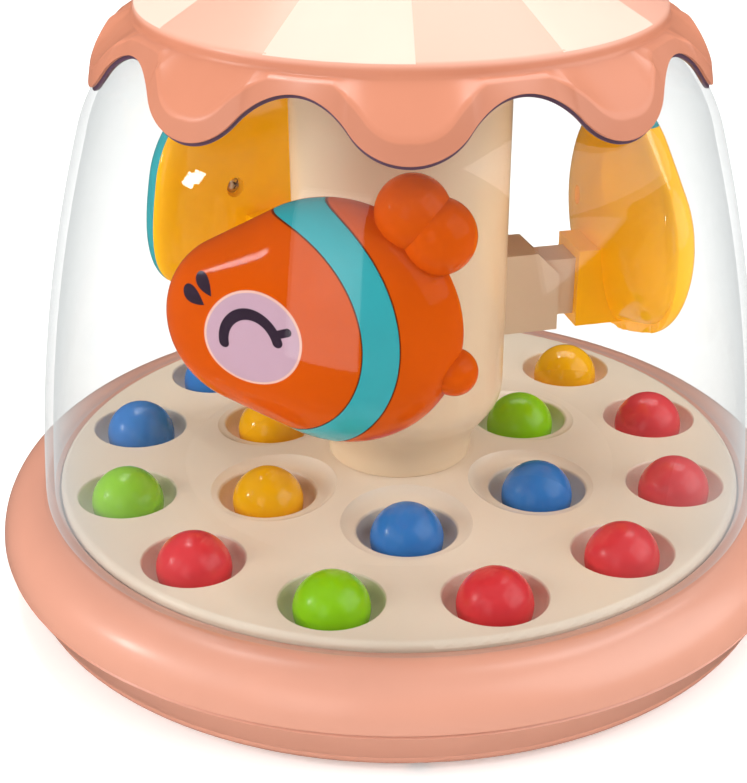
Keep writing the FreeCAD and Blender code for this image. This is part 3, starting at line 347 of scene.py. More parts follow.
for fish, turn in fishPrint["turns"].items():
    for shell in ("front", "back"):
        # the yellow shells glow faintly: painted light, more on the fronts than on the backs
        yellow = dict(finishes["yellow"], lit=fishPrint["yellowPaintedGlow"][shell])
        skin = finishes["orange"] if fish == "orange" else yellow
        node = nodes["fish_" + fish + "_" + shell]
        seamShadows = fishPrint["seamShadows"] if fish == "orange" else []
        node.data.materials[0] = fishSkin(fish + shell.title(), skin, turn, shell == "front", seamShadows, fishPrint)
print("printed faces on", len(fishPrint["turns"]), "fish")


# a piece from points in millimetres, smooth except at sharp edges
def addPiece(name, points, faces, paint, body, stands, sharp=38):
    mesh = bpy.data.meshes.new(name)
    mesh.from_pydata([Vector(point) * mm for point in points], [], faces)
    return finishPiece(name, mesh, paint, body, stands, sharp)


def finishPiece(name, mesh, paint, body, stands, sharp):
    made = bmesh.new()
    made.from_mesh(mesh)
    bmesh.ops.remove_doubles(made, verts=made.verts, dist=1e-6)
    bmesh.ops.recalc_face_normals(made, faces=made.faces)
    made.to_mesh(mesh)
    made.free()
    mesh.shade_smooth()
    mesh.set_sharp_from_angle(angle=math.radians(sharp))
    piece = bpy.data.objects.new(name, mesh)
    bpy.context.scene.collection.objects.link(piece)
    for one in paint if isinstance(paint, list) else [paint]:
        mesh.materials.append(one)
    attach(piece, body)
    if stands:
        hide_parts(*stands)
    return piece


# corners of a section as (radius, height, cut): each is rounded over its cut on both sides
def roundCorners(corners, steps=5):
    line = []
    for count, (radius, height, cut) in enumerate(corners):
        here = Vector((radius, height))
        before = Vector(corners[count - 1][:2]) - here
        after = Vector(corners[(count + 1) % len(corners)][:2]) - here
        start = here + before.normalized() * min(cut, 0.48 * before.length)
        end = here + after.normalized() * min(cut, 0.48 * after.length)
        for part in range(steps + 1):
            share = part / steps
            line.append(start * (1 - share) ** 2 + here * 2 * share * (1 - share) + end * share ** 2)
    return line


# sweeps a section about the upright axis; the section may change with the angle
def sweepRound(sectionAt, steps, closed=True):
    points, faces = [], []
    for count in range(steps):
        angle = 2 * math.pi * count / steps
        section = sectionAt(angle)
        size = len(section)
        points += [(spot[0] * math.cos(angle), spot[0] * math.sin(angle), spot[1]) for spot in section]
        first, second = count * size, (count + 1) % steps * size
        for row in range(size if closed else size - 1):
            ahead = (row + 1) % size
            faces.append((first + row, second + row, second + ahead, first + ahead))
    return points, faces


def joinShapes(shapes):
    points, faces = [], []
    for morePoints, moreFaces in shapes:
        faces += [tuple(index + len(points) for index in face) for face in moreFaces]
        points += morePoints
    return points, faces


def moved(shape, turn, place):
    points, faces = shape
    return [turn @ Vector(point) + Vector(place) for point in points], faces


# the loose solids of a CAD node, each as its points in millimetres
def solidsOf(node):
    made = bmesh.new()
    made.from_mesh(nodes[node].data)
    bmesh.ops.remove_doubles(made, verts=made.verts, dist=1e-6)
    left, solids = set(made.verts), []
    while left:
        edge = [left.pop()]
        solid = list(edge)
        while edge:
            for link in edge.pop().link_edges:
                for vertex in link.verts:
                    if vertex in left:
                        left.remove(vertex)
                        edge.append(vertex)
                        solid.append(vertex)
        solids.append([vertex.co / mm for vertex in solid])
    made.free()
    return solids


def middleOf(points):
    return Vector([(min(point[axis] for point in points) + max(point[axis] for point in points)) / 2
                   for axis in range(3)])


# points of an arc from one corner of a section towards the next, swollen outwards by its bulge
def bow(first, second, bulge, count):
    start, end = Vector(first), Vector(second)
    run = end - start
    aside = Vector((run.y, -run.x)).normalized()
    half = 2 * math.atan(2 * bulge / run.length)
    radius = run.length / (2 * math.sin(half))
    middle = (start + end) / 2 - aside * (radius - bulge)
    line = []
    for part in range(count + 1):
        turn = half * (1 - 2 * part / count)
        spoke = aside * math.cos(turn) - run.normalized() * math.sin(turn)
        line.append((*(middle + spoke * radius), 0))
    return line


rim = dict(
    widest=(105.2, 15.2), crest=(93.7, 27.3), shoulderBulge=3.2, apron=(89.95, 26.65), apronRound=0.35,
    inside=(102.4, 14.75), cavity=(96.0, 24.4), cavityBulge=2.3, foot=18.5, steps=360, arcSteps=40,
    ledge=2.2, ledgeSlant=0.2, hem=0.5, soft=0.2,
)


# the upper base shell, whose crest runs inwards under the dome as a ledge that meets the tray
def buildRim(look):
    crest, apron, foot, soft = look["crest"], look["apron"], look["foot"], look["soft"]
    under = apron[1] - look["ledge"]
    shoulder = bow(look["widest"], crest, look["shoulderBulge"], look["arcSteps"])
    cavity = bow(look["inside"], look["cavity"], look["cavityBulge"], look["arcSteps"] // 2)
    inner = [
        (*apron, look["apronRound"]), (apron[0], under, soft), (crest[0], under - look["ledgeSlant"], 1.5 * soft),
        (crest[0], foot, soft), (look["cavity"][0], foot, soft)]
    hem = (look["widest"][0] - look["hem"], look["inside"][1], soft / 2)
    section = roundCorners(shoulder + inner + cavity[::-1] + [hem], 3)
    points, faces = sweepRound(lambda angle: section, look["steps"])
    addPiece("baseRim", points, faces, paints["pink"], "housing", ["base_rim"])


glass = dict(
    foot=27.35, start=(93.1, 29.3), shoulder=(76.7, 118.5), bulge=2.7, crown=(50.0, 144.5), crownBulge=5.0,
    wall=2.2, footRound=0.4, holeRound=0.1, steps=480, arcSteps=48,
)


# the dome's curve from its foot over the shoulder to the crown
def domeLine(look, start, shoulder, crown):
    side = bow(start, shoulder, look["bulge"], look["arcSteps"])
    return side + bow(shoulder, crown, look["crownBulge"], look["arcSteps"])[1:]


# the dome's wall, standing on the ledge of the rim
def buildDome(look):
    wall = look["wall"]
    hole = min(Vector(point).xy.length for point in solidsOf("dome")[0])
    start, shoulder, crown = look["start"], look["shoulder"], look["crown"]
    inStart, inShoulder = (start[0] - wall, start[1]), (shoulder[0] - wall, shoulder[1] - wall / 3)
    outer = domeLine(look, start, shoulder, crown)
    inner = domeLine(look, inStart, inShoulder, (crown[0], crown[1] - wall))
    edge = [(hole, crown[1], look["holeRound"]), (hole, crown[1] - wall, look["holeRound"])]
    foot = [(start[0], look["foot"], look["footRound"]), (start[0] - wall, look["foot"], look["footRound"])]
    section = roundCorners(foot[:1] + outer + edge + inner[::-1] + foot[1:], 2)
    points, faces = sweepRound(lambda angle: section, look["steps"])
    addPiece("domeShell", points, faces, paints["clear"], "housing", ["dome"])


buildRim(rim)
buildDome(glass)
print("base rim and dome")

column = dict(
    cut=52.0, wall=2.3, steps=240,
    foot=[  # radius, height and rounding, upwards
        (18.7, 31.4, 0.3), (18.8, 34.0, 1.2), (19.2, 36.6, 1.3), (20.4, 39.3, 1.4), (22.4, 42.2, 1.6),
        (24.7, 45.0, 1.6), (26.2, 47.7, 1.4), (26.75, 50.2, 1.1), (26.8, 52.0, 0)],
)


# the points of a mesh in millimetres and its faces; the second is for a mesh that is being edited
def meshShape(mesh):
    return [vertex.co / mm for vertex in mesh.vertices], [tuple(face.vertices) for face in mesh.polygons]


def editedShape(made):
    made.verts.index_update()
    faces = [tuple(vertex.index for vertex in face.verts) for face in made.faces]
    return [vertex.co / mm for vertex in made.verts], faces


# the column keeps its arms and stands on a foot that flares out of a short neck
def buildColumn(look):
    made = bmesh.new()
    made.from_mesh(nodes["column"].data)
    bmesh.ops.bisect_plane(made, geom=[*made.verts, *made.edges, *made.faces], clear_inner=True,
                           plane_co=(0, 0, look["cut"] * mm), plane_no=(0, 0, 1))
    upper = editedShape(made)
    made.free()
    inside = [(radius - look["wall"], height, cut) for radius, height, cut in look["foot"]]
    section = roundCorners(look["foot"] + inside[::-1], 4)
    lower = sweepRound(lambda angle: section, look["steps"])
    points, faces = joinShapes([upper, lower])
    addPiece("flaredColumn", points, faces, paints["columnBounceCream"], "carousel", ["column"], sharp=30)


buildColumn(column)

creatures = dict(
    tailFrom=5, tailTo=28, tailPush=1.6, hemPush=4.6, hemDown=5.0, hemFrom=6, hemTo=-18,
    flat=8.4, domed=15.0, flatPower=2.2, hemDrop=3.0, hemReach=28,
)


def ramp(value, low, high):
    share = min(1, max(0, (value - low) / (high - low)))
    return share * share * (3 - 2 * share)


# the left one is fuller at its lower corner; the right one has a flatter front that hangs lower than its back
def fuller(spot, look):
    tail = ramp(spot.x, look["tailFrom"], look["tailTo"])
    hem = tail * ramp(spot.z, look["hemFrom"], look["hemTo"])
    spot.x += tail * look["tailPush"] + hem * look["hemPush"]
    spot.z -= hem * look["hemDown"]
    return spot


def flatter(spot, look):
    if spot.y < 0:
        spot.y = -look["flat"] * (1 - max(0, 1 + spot.y / look["domed"]) ** look["flatPower"])
        spot.z -= look["hemDrop"] * ramp(-spot.z, 0, look["hemReach"])
    return spot


def reshapeFish(node, turn, shaper, look):
    spin = Matrix.Rotation(math.radians(turn), 3, "Z")
    middle = Vector(fishPrint["middle"])
    points, faces = meshShape(nodes[node].data)
    points = [spin @ (shaper(spin.inverted() @ point - middle, look) + middle) for point in points]
    skin = nodes[node].data.materials[0]
    addPiece(node.replace("fish_", "") + "_shell", points, faces, skin, "carousel", [node], sharp=30)


for shell in ("front", "band", "back"):
    reshapeFish("fish_yellow_left_" + shell, fishPrint["turns"]["yellow_left"], fuller, creatures)
for shell in ("front", "band"):
    reshapeFish("fish_yellow_right_" + shell, fishPrint["turns"]["yellow_right"], flatter, creatures)
print("column and yellow creatures")

canopy = dict(
    steps=1080, roundSteps=6, scallops=9, turn=-91.2, tip=131.0, valley=142.6, waveReach=24.97,
    arcMiddle=(46.40, 125.46), arcRadius=26.83, hole=26.2, roofTop=165.5, roofRound=0.5,
    lip=(61.3, 148.0), lipRound=1.0, bead=(61.6, 145.4), beadRound=0.7, borderTip=5.3, borderValley=3.5,
    # hemShadow: a thin dark strip just below the skirt's edge, painted shade between skirt and dome
    petalRise=0.7, creaseRound=1.3, hemRound=0.4, wall=2.0, hemShadowInset=0.9, hemShadowDrop=0.85, hemShadowThick=0.8,
    beadClear=0.4, beadOver=0.6, petalFade=3, beadFlare=1.6,
    # borderPaintedShade: the skirt's lower band is painted darker, painted shade
    borderPaintedShade=0.86, borderRough=0.5, hemShadowColour=colour(84, 58, 78), roofFrom=146.6, roofTo=148.4,
    # roofLitColour and skirtShadedColour: one pink painted lighter on the roof and darker on the skirt, painted
    # light and shade from the top light
    roofLitColour=colour(220, 163, 142), skirtShadedColour=colour(196, 126, 98), skirtCoat=0.15, skirtSpecular=0.3,
    postRing=44.0, posts=3, postRadius=2.5, postFoot=144.5, postTop=153.5,
    panels=6, panelTurn=15, panelSpread=15, panelNear=31.3, panelProud=0.1, panelThick=0.6, panelSteps=30,
    panelEdge=0.4, panelLeast=0.3, panelFar=0.35, panelFall=0.25, panelFallFrom=0.9,
    panelColour=colour(210, 193, 176), panelRough=0.45, panelSpecular=0.12,
)


# half a scallop from tip to valley as (across, height): the edge of two equal arcs, or the crease above it
def scallopLine(look, crease, count=200):
    reach, rise = look["waveReach"], look["valley"] - look["tip"]
    radius = (reach ** 2 + rise ** 2) / (4 * rise)
    line = []
    for part in range(count + 1):
        across = reach * part / count
        below = across <= reach / 2
        lean = (across if below else reach - across) / radius
        drop = radius - radius * math.sqrt(1 - lean ** 2)
        height = look["tip"] + drop if below else look["valley"] - drop
        width = 0
        if crease:
            width = look["borderTip"] + (look["borderValley"] - look["borderTip"]) * across / reach
        line.append((across - width * lean, height + width * math.sqrt(1 - lean ** 2)))
    return line


def heightOn(line, across):
    for (left, low), (right, high) in zip(line, line[1:]):
        if across <= right:
            return low + (high - low) * max(0, across - left) / (right - left)
    return line[-1][1]


def skirtRadius(look, height):
    return look["arcMiddle"][0] + math.sqrt(look["arcRadius"] ** 2 - (height - look["arcMiddle"][1]) ** 2)


def canopySection(look, edgeLine, creaseLine, angle):
    pitch = 360 / look["scallops"]
    away = abs((math.degrees(angle) - look["turn"] + pitch / 2) % pitch - pitch / 2) / (pitch / 2)
    edge = heightOn(edgeLine, away * look["waveReach"])
    beadRadius, beadHeight = look["bead"]
    lipRadius, lipHeight = look["lip"]
    free = heightOn(creaseLine, away * look["waveReach"])
    crease = min(free, beadHeight - look["beadClear"])
    room = min(1, max(0, (beadHeight + look["beadOver"] - free) / look["petalFade"]))
    edgeRadius = skirtRadius(look, edge)
    proud = look["petalRise"] * room
    creaseRadius = skirtRadius(look, crease) * room + (beadRadius + look["beadFlare"]) * (1 - room) + proud
    inner, drop = edgeRadius - look["hemShadowInset"], look["hemShadowDrop"]
    wall = look["wall"]
    return roundCorners([
        (look["hole"], look["roofTop"], look["roofRound"]),
        (lipRadius, lipHeight, look["lipRound"]),
        (beadRadius, beadHeight, look["beadRound"]),
        (creaseRadius, crease, look["creaseRound"]),
        (edgeRadius, edge, look["hemRound"]),
        # these rows are the dark strip below the hem: painted shade standing in for the shadowed gap between
        # skirt and dome
        (inner, edge, 0.1),
        (inner, edge - drop, 0.2),
        (inner - look["hemShadowThick"], edge - drop, 0.2),
        (creaseRadius - wall - proud, crease - wall / 2, 0.8),
        (beadRadius - wall, beadHeight - wall / 4, 0.6),
        (lipRadius - wall, lipHeight - wall / 2, 0.6),
        (look["hole"], look["roofTop"] - wall, 0.3),
    ], look["roundSteps"])


def canopyPaint(look):
    finish = dict(
        finishes["pink"], colour=look["skirtShadedColour"], coat=look["skirtCoat"], specular=look["skirtSpecular"])
    material, paint = newPaint("canopyPink")
    place, cloud, grain, tint = plasticBase(paint, finish)
    height = paint.node("ShaderNodeSeparateXYZ", sockets={"Vector": place})["Z"] / mm
    # painted light and shade: the roof takes a lighter pink than the skirt, where the top light falls on it
    tint = height.step(look["roofFrom"], look["roofTo"]).blend(tint, look["roofLitColour"])
    # the skirt's lower band is rougher and painted darker: painted shade where the band turns in from the light
    border = paint.node("ShaderNodeAttribute", {"attribute_name": "border"})["Fac"]
    mattAndShade = border.step(0.2, 0.8)
    tint = mattAndShade.blend(tint, shaded(finish["colour"], look["borderPaintedShade"]))
    rough = finish["rough"] + mattAndShade * (look["borderRough"] - finish["rough"])
    return closePaint(material, paint, plasticShader(paint, finish, cloud, grain, tint, rough))


def buildCanopy(look):
    edgeLine, creaseLine = scallopLine(look, False), scallopLine(look, True)
    shape = sweepRound(lambda angle: canopySection(look, edgeLine, creaseLine, angle), look["steps"])
    size = len(shape[0]) // look["steps"]
    perCorner = look["roundSteps"] + 1
    post = [(0.01, look["postFoot"], 0), (look["postRadius"], look["postFoot"], 0.2),
            (look["postRadius"], look["postTop"], 0), (0.01, look["postTop"], 0)]
    tower = sweepRound(lambda angle: roundCorners(post, 3), 32)
    shapes = [shape]
    for count in range(look["posts"]):
        turn = 2 * math.pi * count / look["posts"]
        ring = look["postRing"]
        shapes.append(moved(tower, Matrix.Identity(3), (ring * math.cos(turn), ring * math.sin(turn), 0)))
    points, faces = joinShapes(shapes)
    mesh = bpy.data.meshes.new("scallopedCanopy")
    mesh.from_pydata([Vector(point) * mm for point in points], [], faces)
    # the border attribute marks the skirt's lower band, which the paint makes rougher and darker with painted
    # shade
    border = mesh.attributes.new("border", "FLOAT", "POINT")
    skirt = look["steps"] * size
    for index in range(skirt):
        row = index % size
        onBorder = min(1, max(0, (row - 3.5 * perCorner) / 3))
        border.data[index].value = onBorder if row < 5 * perCorner else 0
    # faces of the dark strip below the hem take the second paint, painted shade
    for count, polygon in enumerate(mesh.polygons):
        row = count % size
        polygon.material_index = 1 if count < skirt and 5 * perCorner <= row < 8 * perCorner else 0
    paint = [canopyPaint(look), mouldedPlastic("canopyHemShadow", dict(finishes["pink"], colour=look["hemShadowColour"]))]
    finishPiece("scallopedCanopy", mesh, paint, "housing", ["canopy"], 38)


# cream stripes laid into the roof, from the collar to the bead
def buildRoofStripes(look):
    lipRadius, lipHeight = look["lip"]
    slope = (look["roofTop"] - lipHeight) / (lipRadius - look["hole"])
    far = lipRadius - look["panelFar"]
    shapes = []
    for panel in range(look["panels"]):
        middle = look["panelTurn"] + 360 * panel / look["panels"]
        points, faces = [], []
        steps = look["panelSteps"]
        for layer in (0, 1):
            for row in range(steps + 1):
                radius = look["panelNear"] + (far - look["panelNear"]) * row / steps
                for across in range(steps + 1):
                    share = 2 * across / steps - 1
                    turn = math.radians(middle + look["panelSpread"] * share)
                    side = radius * math.radians(look["panelSpread"]) * (1 - abs(share))
                    near = min(side, radius - look["panelNear"], far - radius)
                    proud = look["panelProud"] * min(1, near / look["panelEdge"] + look["panelLeast"])
                    lift = proud if layer == 0 else -look["panelThick"]
                    roof = look["roofTop"] - slope * (radius - look["hole"])
                    fall = max(0, radius - lipRadius + look["lipRound"] * look["panelFallFrom"])
                    height = roof + lift - look["panelFall"] * fall ** 2
                    points.append((radius * math.cos(turn), radius * math.sin(turn), height))
        wide = steps + 1
        base = wide * wide
        for row in range(steps):
            for across in range(steps):
                corner = row * wide + across
                faces.append((corner, corner + 1, corner + wide + 1, corner + wide))
                faces.append((base + corner, base + corner + wide, base + corner + wide + 1, base + corner + 1))
        border = list(range(wide)) + [row * wide + steps for row in range(1, wide)]
        border += [steps * wide + across for across in range(steps - 1, -1, -1)]
        border += [row * wide for row in range(steps - 1, 0, -1)]
        for count, index in enumerate(border):
            ahead = border[(count + 1) % len(border)]
            faces.append((index, ahead, base + ahead, base + index))
        shapes.append((points, faces))
    points, faces = joinShapes(shapes)
    finish = dict(
        finishes["cream"], colour=look["panelColour"], rough=look["panelRough"], specular=look["panelSpecular"])
    stripe = mouldedPlastic("roofCream", finish)
    addPiece("roofStripes", points, faces, stripe, "housing", ["roof_panels"])


buildCanopy(canopy)
buildRoofStripes(canopy)
print("canopy with", canopy["scallops"], "scallops")

balls = dict(
    tints={"yellow": colour(244, 178, 10), "green": colour(142, 204, 4), "red": colour(220, 52, 58)},
    radius=9.15, seamRidge=0.05, seamWide=1.4, gate=0.12, gateFrom=84, gateSpread=6, around=72, along=56, seed=11,
)
ballColours = ("red", "yellow", "green", "blue")


# a moulded ball with a fine parting line round its middle and the small flat of its gate
def ballShape(look):
    section = []
    for step in range(look["along"] + 1):
        share = 2 * step / look["along"] - 1
        lift = 90 * (0.35 * share + 0.65 * share ** 3)  # rows lie closer at the parting line
        ridge = look["seamRidge"] * math.exp(-(lift / look["seamWide"]) ** 2)
        sunk = max(0, (lift - look["gateFrom"]) / look["gateSpread"]) ** 0.5
        reach = look["radius"] + ridge - look["gate"] * sunk
        section.append((reach * math.cos(math.radians(lift)), reach * math.sin(math.radians(lift))))
    return sweepRound(lambda angle: section, look["around"], closed=False)


def buildBalls(look):
    draw = random.Random(look["seed"])
    shape = ballShape(look)
    for tint in ballColours:
        shapes = []
        middles = [middleOf(solid) for solid in solidsOf("balls_" + tint)]
        for middle in sorted(middles, key=lambda spot: tuple(round(value) for value in spot)):
            spin = Matrix.Rotation(draw.uniform(0, 2 * math.pi), 3, "Z")
            turn = spin @ Matrix.Rotation(draw.uniform(0.5, 2.6), 3, "X")
            shapes.append(moved(shape, turn, middle))
        points, faces = joinShapes(shapes)
        shine = dict(finishes[tint], colour=look["tints"].get(tint, finishes[tint]["colour"]), lit=0)
        paint = mouldedPlastic(tint + "Ball", shine)
        addPiece(tint + "Balls", points, faces, paint, "carousel", ["balls_" + tint], sharp=60)


buildBalls(balls)
print("balls in the cups")

# paintedBounce and lit: how much each cup takes its ball's colour and how strongly it glows, painted bounce light
tray = dict(
    outerRing=73.2, outerCups=12, innerRing=40.1, innerCups=6, cupRadius=12.3, soft=0.9, paintedBounce=0.24, lit=0.16)


# the share of a full turn at which a spot lies
def shareOf(spot):
    return math.atan2(spot.y, spot.x) / (2 * math.pi)


# painted bounce light: each cup is tinted with the colour of the ball that lies in it and glows faintly in that
# tint
def trayPaint(look):
    finish = finishes["cream"]
    material, paint = newPaint("trayCream")
    place, cloud, grain, tint = plasticBase(paint, finish)
    split = paint.node("ShaderNodeSeparateXYZ", sockets={"Vector": place})
    right, back = split["X"] / mm, split["Y"] / mm
    reach = (right ** 2 + back ** 2) ** 0.5
    share = paint.maths("FRACT", paint.maths("ARCTAN2", back, right) / (2 * math.pi) + 1)
    spots = [(middleOf(solid), name) for name in ballColours for solid in solidsOf("balls_" + name)]
    paintedGlowMask = 0
    for ring, cups in ((look["outerRing"], look["outerCups"]), (look["innerRing"], look["innerCups"])):
        near = [(spot, name) for spot, name in spots if abs(spot.xy.length - ring) < look["cupRadius"]]
        start = min(shareOf(spot) % (1 / cups) for spot, name in near)
        stops = []
        for cup in range(cups):
            middle = (start + cup / cups) % 1
            name = min(near, key=lambda one: abs((shareOf(one[0]) - middle + 0.5) % 1 - 0.5))[1]
            stops.append((cup / cups, finishes[name]["colour"]))
        fromStart = paint.maths("FRACT", share - start + 0.5 / cups + 1)
        ball = paint.node("ShaderNodeValToRGB", {"stops": stops}, {"Fac": fromStart})
        aside = (paint.maths("FRACT", fromStart * cups) - 0.5) * (2 * math.pi * ring / cups)
        away = (aside ** 2 + (reach - ring) ** 2) ** 0.5
        cup = 1 - away.step(look["cupRadius"] - 2 * look["soft"], look["cupRadius"])
        tint = (cup * look["paintedBounce"]).blend(tint, ball["Color"])
        paintedGlowMask = cup + paintedGlowMask
    # painted light: only the cups glow, in their tinted cream
    glow = paintedGlowMask.least(1).blend((0, 0, 0, 1), tint)
    lit = dict(finish, lit=look["lit"])
    return closePaint(material, paint, plasticShader(paint, lit, cloud, grain, tint, finish["rough"], glow))


nodes["ball_tray"].data.materials[0] = trayPaint(tray)

screws = dict(
    headRadius=2.3, headHeight=1.6, crownFlat=0.55, crownDrop=0.05, shank=1.25, around=40,
    recess=1.1, recessOver=0.3, slotWide=0.75, slotReach=1.45, slotTaper=0.45,
    proud={"fish_screws": 1.2},  # how far the heads stand above the solids' heads in their wells
)


# a pan-head screw with a cross recess, its head upwards and the top of the head at the origin
def screwShape(look, length):
    radius, height, shank = look["headRadius"], look["headHeight"], look["shank"]
    section = roundCorners([
        (0.001, 0, 0), (radius * look["crownFlat"], -look["crownDrop"], 0.5), (radius, -height * 0.5, 0.6),
        (radius, -height, 0.15), (shank, -height, 0.1), (shank, -length, 0.3), (0.001, -length, 0)], 4)
    points, faces = sweepRound(lambda angle: section, look["around"])
    mesh = bpy.data.meshes.new("screwBlank")
    mesh.from_pydata([Vector(point) for point in points], [], faces)
    made = bmesh.new()
    made.from_mesh(mesh)
    bmesh.ops.remove_doubles(made, verts=made.verts, dist=0.01)
    bmesh.ops.recalc_face_normals(made, faces=made.faces)
    made.to_mesh(mesh)
    blank = bpy.data.objects.new("screwBlank", mesh)
    tools = []
    for turn in (0, math.pi / 2):
        made.clear()
        bmesh.ops.create_cube(made, size=1)
        for vertex in made.verts:
            taper = 1 if vertex.co.z > 0 else look["slotTaper"]
            spot = Vector((vertex.co.x * 2 * look["slotReach"] * taper, vertex.co.y * look["slotWide"] * taper,
                           (vertex.co.z - 0.5) * look["recess"] + (look["recessOver"] if vertex.co.z > 0 else 0)))
            vertex.co = Matrix.Rotation(turn, 3, "Z") @ spot
        cutter = bpy.data.meshes.new("screwRecess")
        made.to_mesh(cutter)
        tool = bpy.data.objects.new("screwRecess", cutter)
        bpy.context.scene.collection.objects.link(tool)
        cut = blank.modifiers.new("recess", "BOOLEAN")
        cut.object = tool
        cut.solver = "EXACT"
        tools.append(tool)
    made.free()
    bpy.context.scene.collection.objects.link(blank)
    bpy.context.view_layer.update()
    shaped = blank.evaluated_get(bpy.context.evaluated_depsgraph_get()).to_mesh()
    points = [vertex.co.copy() for vertex in shaped.vertices]
    shape = (points, [tuple(face.vertices) for face in shaped.polygons])
    for tool in tools + [blank]:
        bpy.data.objects.remove(tool)
    return shape


# puts a screw at each solid of a CAD node, its head towards the given side
def buildScrews(look, node, name, body, sideOf):
    draw = random.Random(len(name))
    shapes = []
    for solid in solidsOf(node):
        middle = middleOf(solid)
        side = sideOf(middle).normalized()
        reach = [point.dot(side) for point in solid]
        top = middle + side * (max(reach) + look["proud"].get(node, 0) - middle.dot(side))
        turn = side.to_track_quat("Z", "Y").to_matrix() @ Matrix.Rotation(draw.uniform(0, 1.5), 3, "Z")
        shapes.append(moved(screwShape(look, max(reach) - min(reach)), turn, top))
    points, faces = joinShapes(shapes)
    addPiece(name, points, faces, paints["steel"], body, [node], sharp=30)


buildScrews(screws, "base_screws", "baseScrews", "housing", lambda middle: Vector((0, 0, -1)))
buildScrews(screws, "fish_screws", "fishScrews", "carousel", lambda middle: Vector((-middle.x, -middle.y, 0)))
print("cross-head screws")


# the spring under the knob, with a mesh of its own
def buildSpring():
    points, faces = meshShape(nodes["knob_spring"].data)
    piece = addPiece(
        "pressSpring", points, faces, paints["steel"], "housing", ["knob_spring"], sharp=45)
    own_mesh(piece)


buildSpring()

studio = dict(
    floor=colour(248, 247, 245), floorGlow=0.25, floorReach=4.0, aim=(0, 0, 0.08),
    world=(0.9, 0.92, 0.94, 1), worldLow=0.05, worldHigh=0.3,
    wallNear=1.45, wallFar=1.9, wallRound=0.4, wallHigh=3.0, wallFoot=mm, wallGlow=1.2, wallSteps=96,
    boxes=[  # name, azimuth, elevation, distance, width, height, watts, seen in reflections
        ("lampLeft", -168, 21, 0.9, 0.07, 0.11, 0.8, True),
        ("panelLeft", -116, 18, 1.1, 0.44, 0.66, 1.0, True),
        ("panelRight", -19, 33, 1.1, 1.3, 1.1, 6.9, True),
        ("skyPanel", 78, 66, 1.2, 1.1, 0.65, 9.6, True),
        ("lampTop", 134, 70, 1.0, 0.05, 0.16, 1.2, True),
        ("fillFront", -95, 10, 1.3, 1.6, 0.5, 1.1, False),
        ("fillHigh", -92, 62, 1.3, 1.2, 0.8, 2.6, False),
        ("fillLeft", -158, 24, 1.2, 0.9, 0.7, 11.5, False),
        ("fillRight", -15, 24, 1.2, 0.9, 0.6, 6, False),
    ],
)


def softBox(aim, name, azimuth, elevation, distance, width, height, watts, shows):
    light = bpy.data.lights.new(name, "AREA")
    light.shape = "RECTANGLE"
    light.size, light.size_y = width, height
    light.energy = watts
    lamp = bpy.data.objects.new(name, light)
    bpy.context.scene.collection.objects.link(lamp)
    turn, rise = math.radians(azimuth), math.radians(elevation)
    away = Vector((math.cos(turn) * math.cos(rise), math.sin(turn) * math.cos(rise), math.sin(rise)))
    lamp.location = away * distance + Vector(aim)
    lamp.rotation_euler = away.to_track_quat("Z", "Y").to_euler()
    lamp.visible_camera = False
    lamp.visible_glossy = shows


# a pale wall round the floor, which only the eye sees
def buildBackdrop(look):
    near, far, foot = look["wallNear"], look["wallFar"], look["wallFoot"]
    line = roundCorners([(near, foot, 0), (far, foot, look["wallRound"]), (far, look["wallHigh"], 0)], 12)
    points, faces = sweepRound(lambda angle: line, look["wallSteps"], closed=False)
    mesh = bpy.data.meshes.new("backdrop")
    mesh.from_pydata(points, [], faces)
    mesh.shade_smooth()
    wall = bpy.data.objects.new("backdrop", mesh)
    bpy.context.scene.collection.objects.link(wall)
    sheet = dict(colour=look["floor"], rough=0.8, cloud=2, grain=200, bump=0.05, lit=look["wallGlow"])
    mesh.materials.append(mouldedPlastic("paperWall", sheet))
    wall.visible_diffuse = wall.visible_glossy = wall.visible_transmission = wall.visible_shadow = False


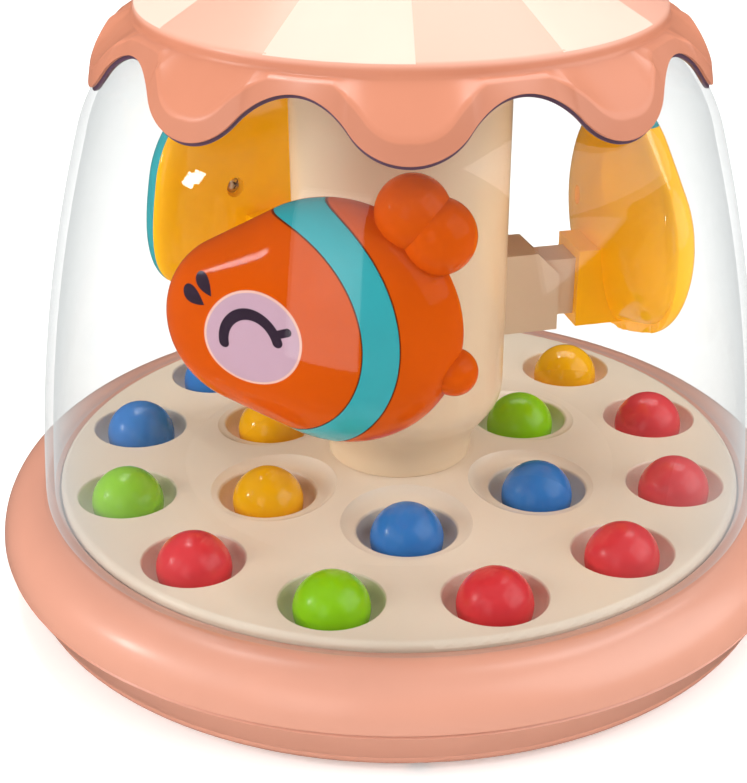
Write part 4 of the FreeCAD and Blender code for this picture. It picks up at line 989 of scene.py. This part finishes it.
def buildStudio(look):
    for box in look["boxes"]:
        softBox(look["aim"], *box)
    world = bpy.data.worlds.new("studio")
    world.use_nodes = True
    world.node_tree.nodes.clear()
    sky = Field(world.node_tree)
    way = sky.node("ShaderNodeTexCoord")["Generated"]
    rise = sky.node("ShaderNodeSeparateXYZ", sockets={"Vector": way})["Z"]
    strength = look["worldLow"] + (look["worldHigh"] - look["worldLow"]) * rise.step(0.1, 0.7)
    light = sky.node("ShaderNodeBackground", sockets={"Color": look["world"], "Strength": strength})["Background"]
    sky.node("ShaderNodeOutputWorld", sockets={"Surface": light})
    bpy.context.scene.world = world
    mesh = bpy.data.meshes.new("floor")
    reach = look["floorReach"]
    corners = [(-reach, -reach, 0), (reach, -reach, 0), (reach, reach, 0), (-reach, reach, 0)]
    mesh.from_pydata(corners, [], [(0, 1, 2, 3)])
    floor = bpy.data.objects.new("floor", mesh)
    bpy.context.scene.collection.objects.link(floor)
    sheet = dict(colour=look["floor"], rough=0.7, cloud=4, grain=300, bump=0.05, lit=look["floorGlow"])
    mesh.materials.append(mouldedPlastic("paperSweep", sheet))
    floor.visible_glossy = False
    buildBackdrop(look)
    bpy.context.scene.view_settings.view_transform = "Standard"
    print("studio:", len(look["boxes"]), "soft boxes")


buildStudio(studio)

viewer = dict(
    place=(-0.01864, -0.38110, 0.23236), side=(0.998896, -0.046855, 0.003279),
    up=(0.021572, 0.519678, 0.854090), back=(-0.041722, -0.853076, 0.520116),
    lens=73.954, shiftX=-0.03241, shiftY=0.19499,
)


def buildCamera(look):
    lens = bpy.data.cameras.new("viewer")
    lens.sensor_width = 36
    lens.lens = look["lens"]
    lens.shift_x, lens.shift_y = look["shiftX"], look["shiftY"]
    lens.clip_start, lens.clip_end = 0.01, 20
    camera = bpy.data.objects.new("viewer", lens)
    bpy.context.scene.collection.objects.link(camera)
    turn = Matrix((look["side"], look["up"], look["back"])).transposed().to_4x4()
    camera.matrix_world = Matrix.Translation(look["place"]) @ turn
    bpy.context.scene.camera = camera


buildCamera(viewer)
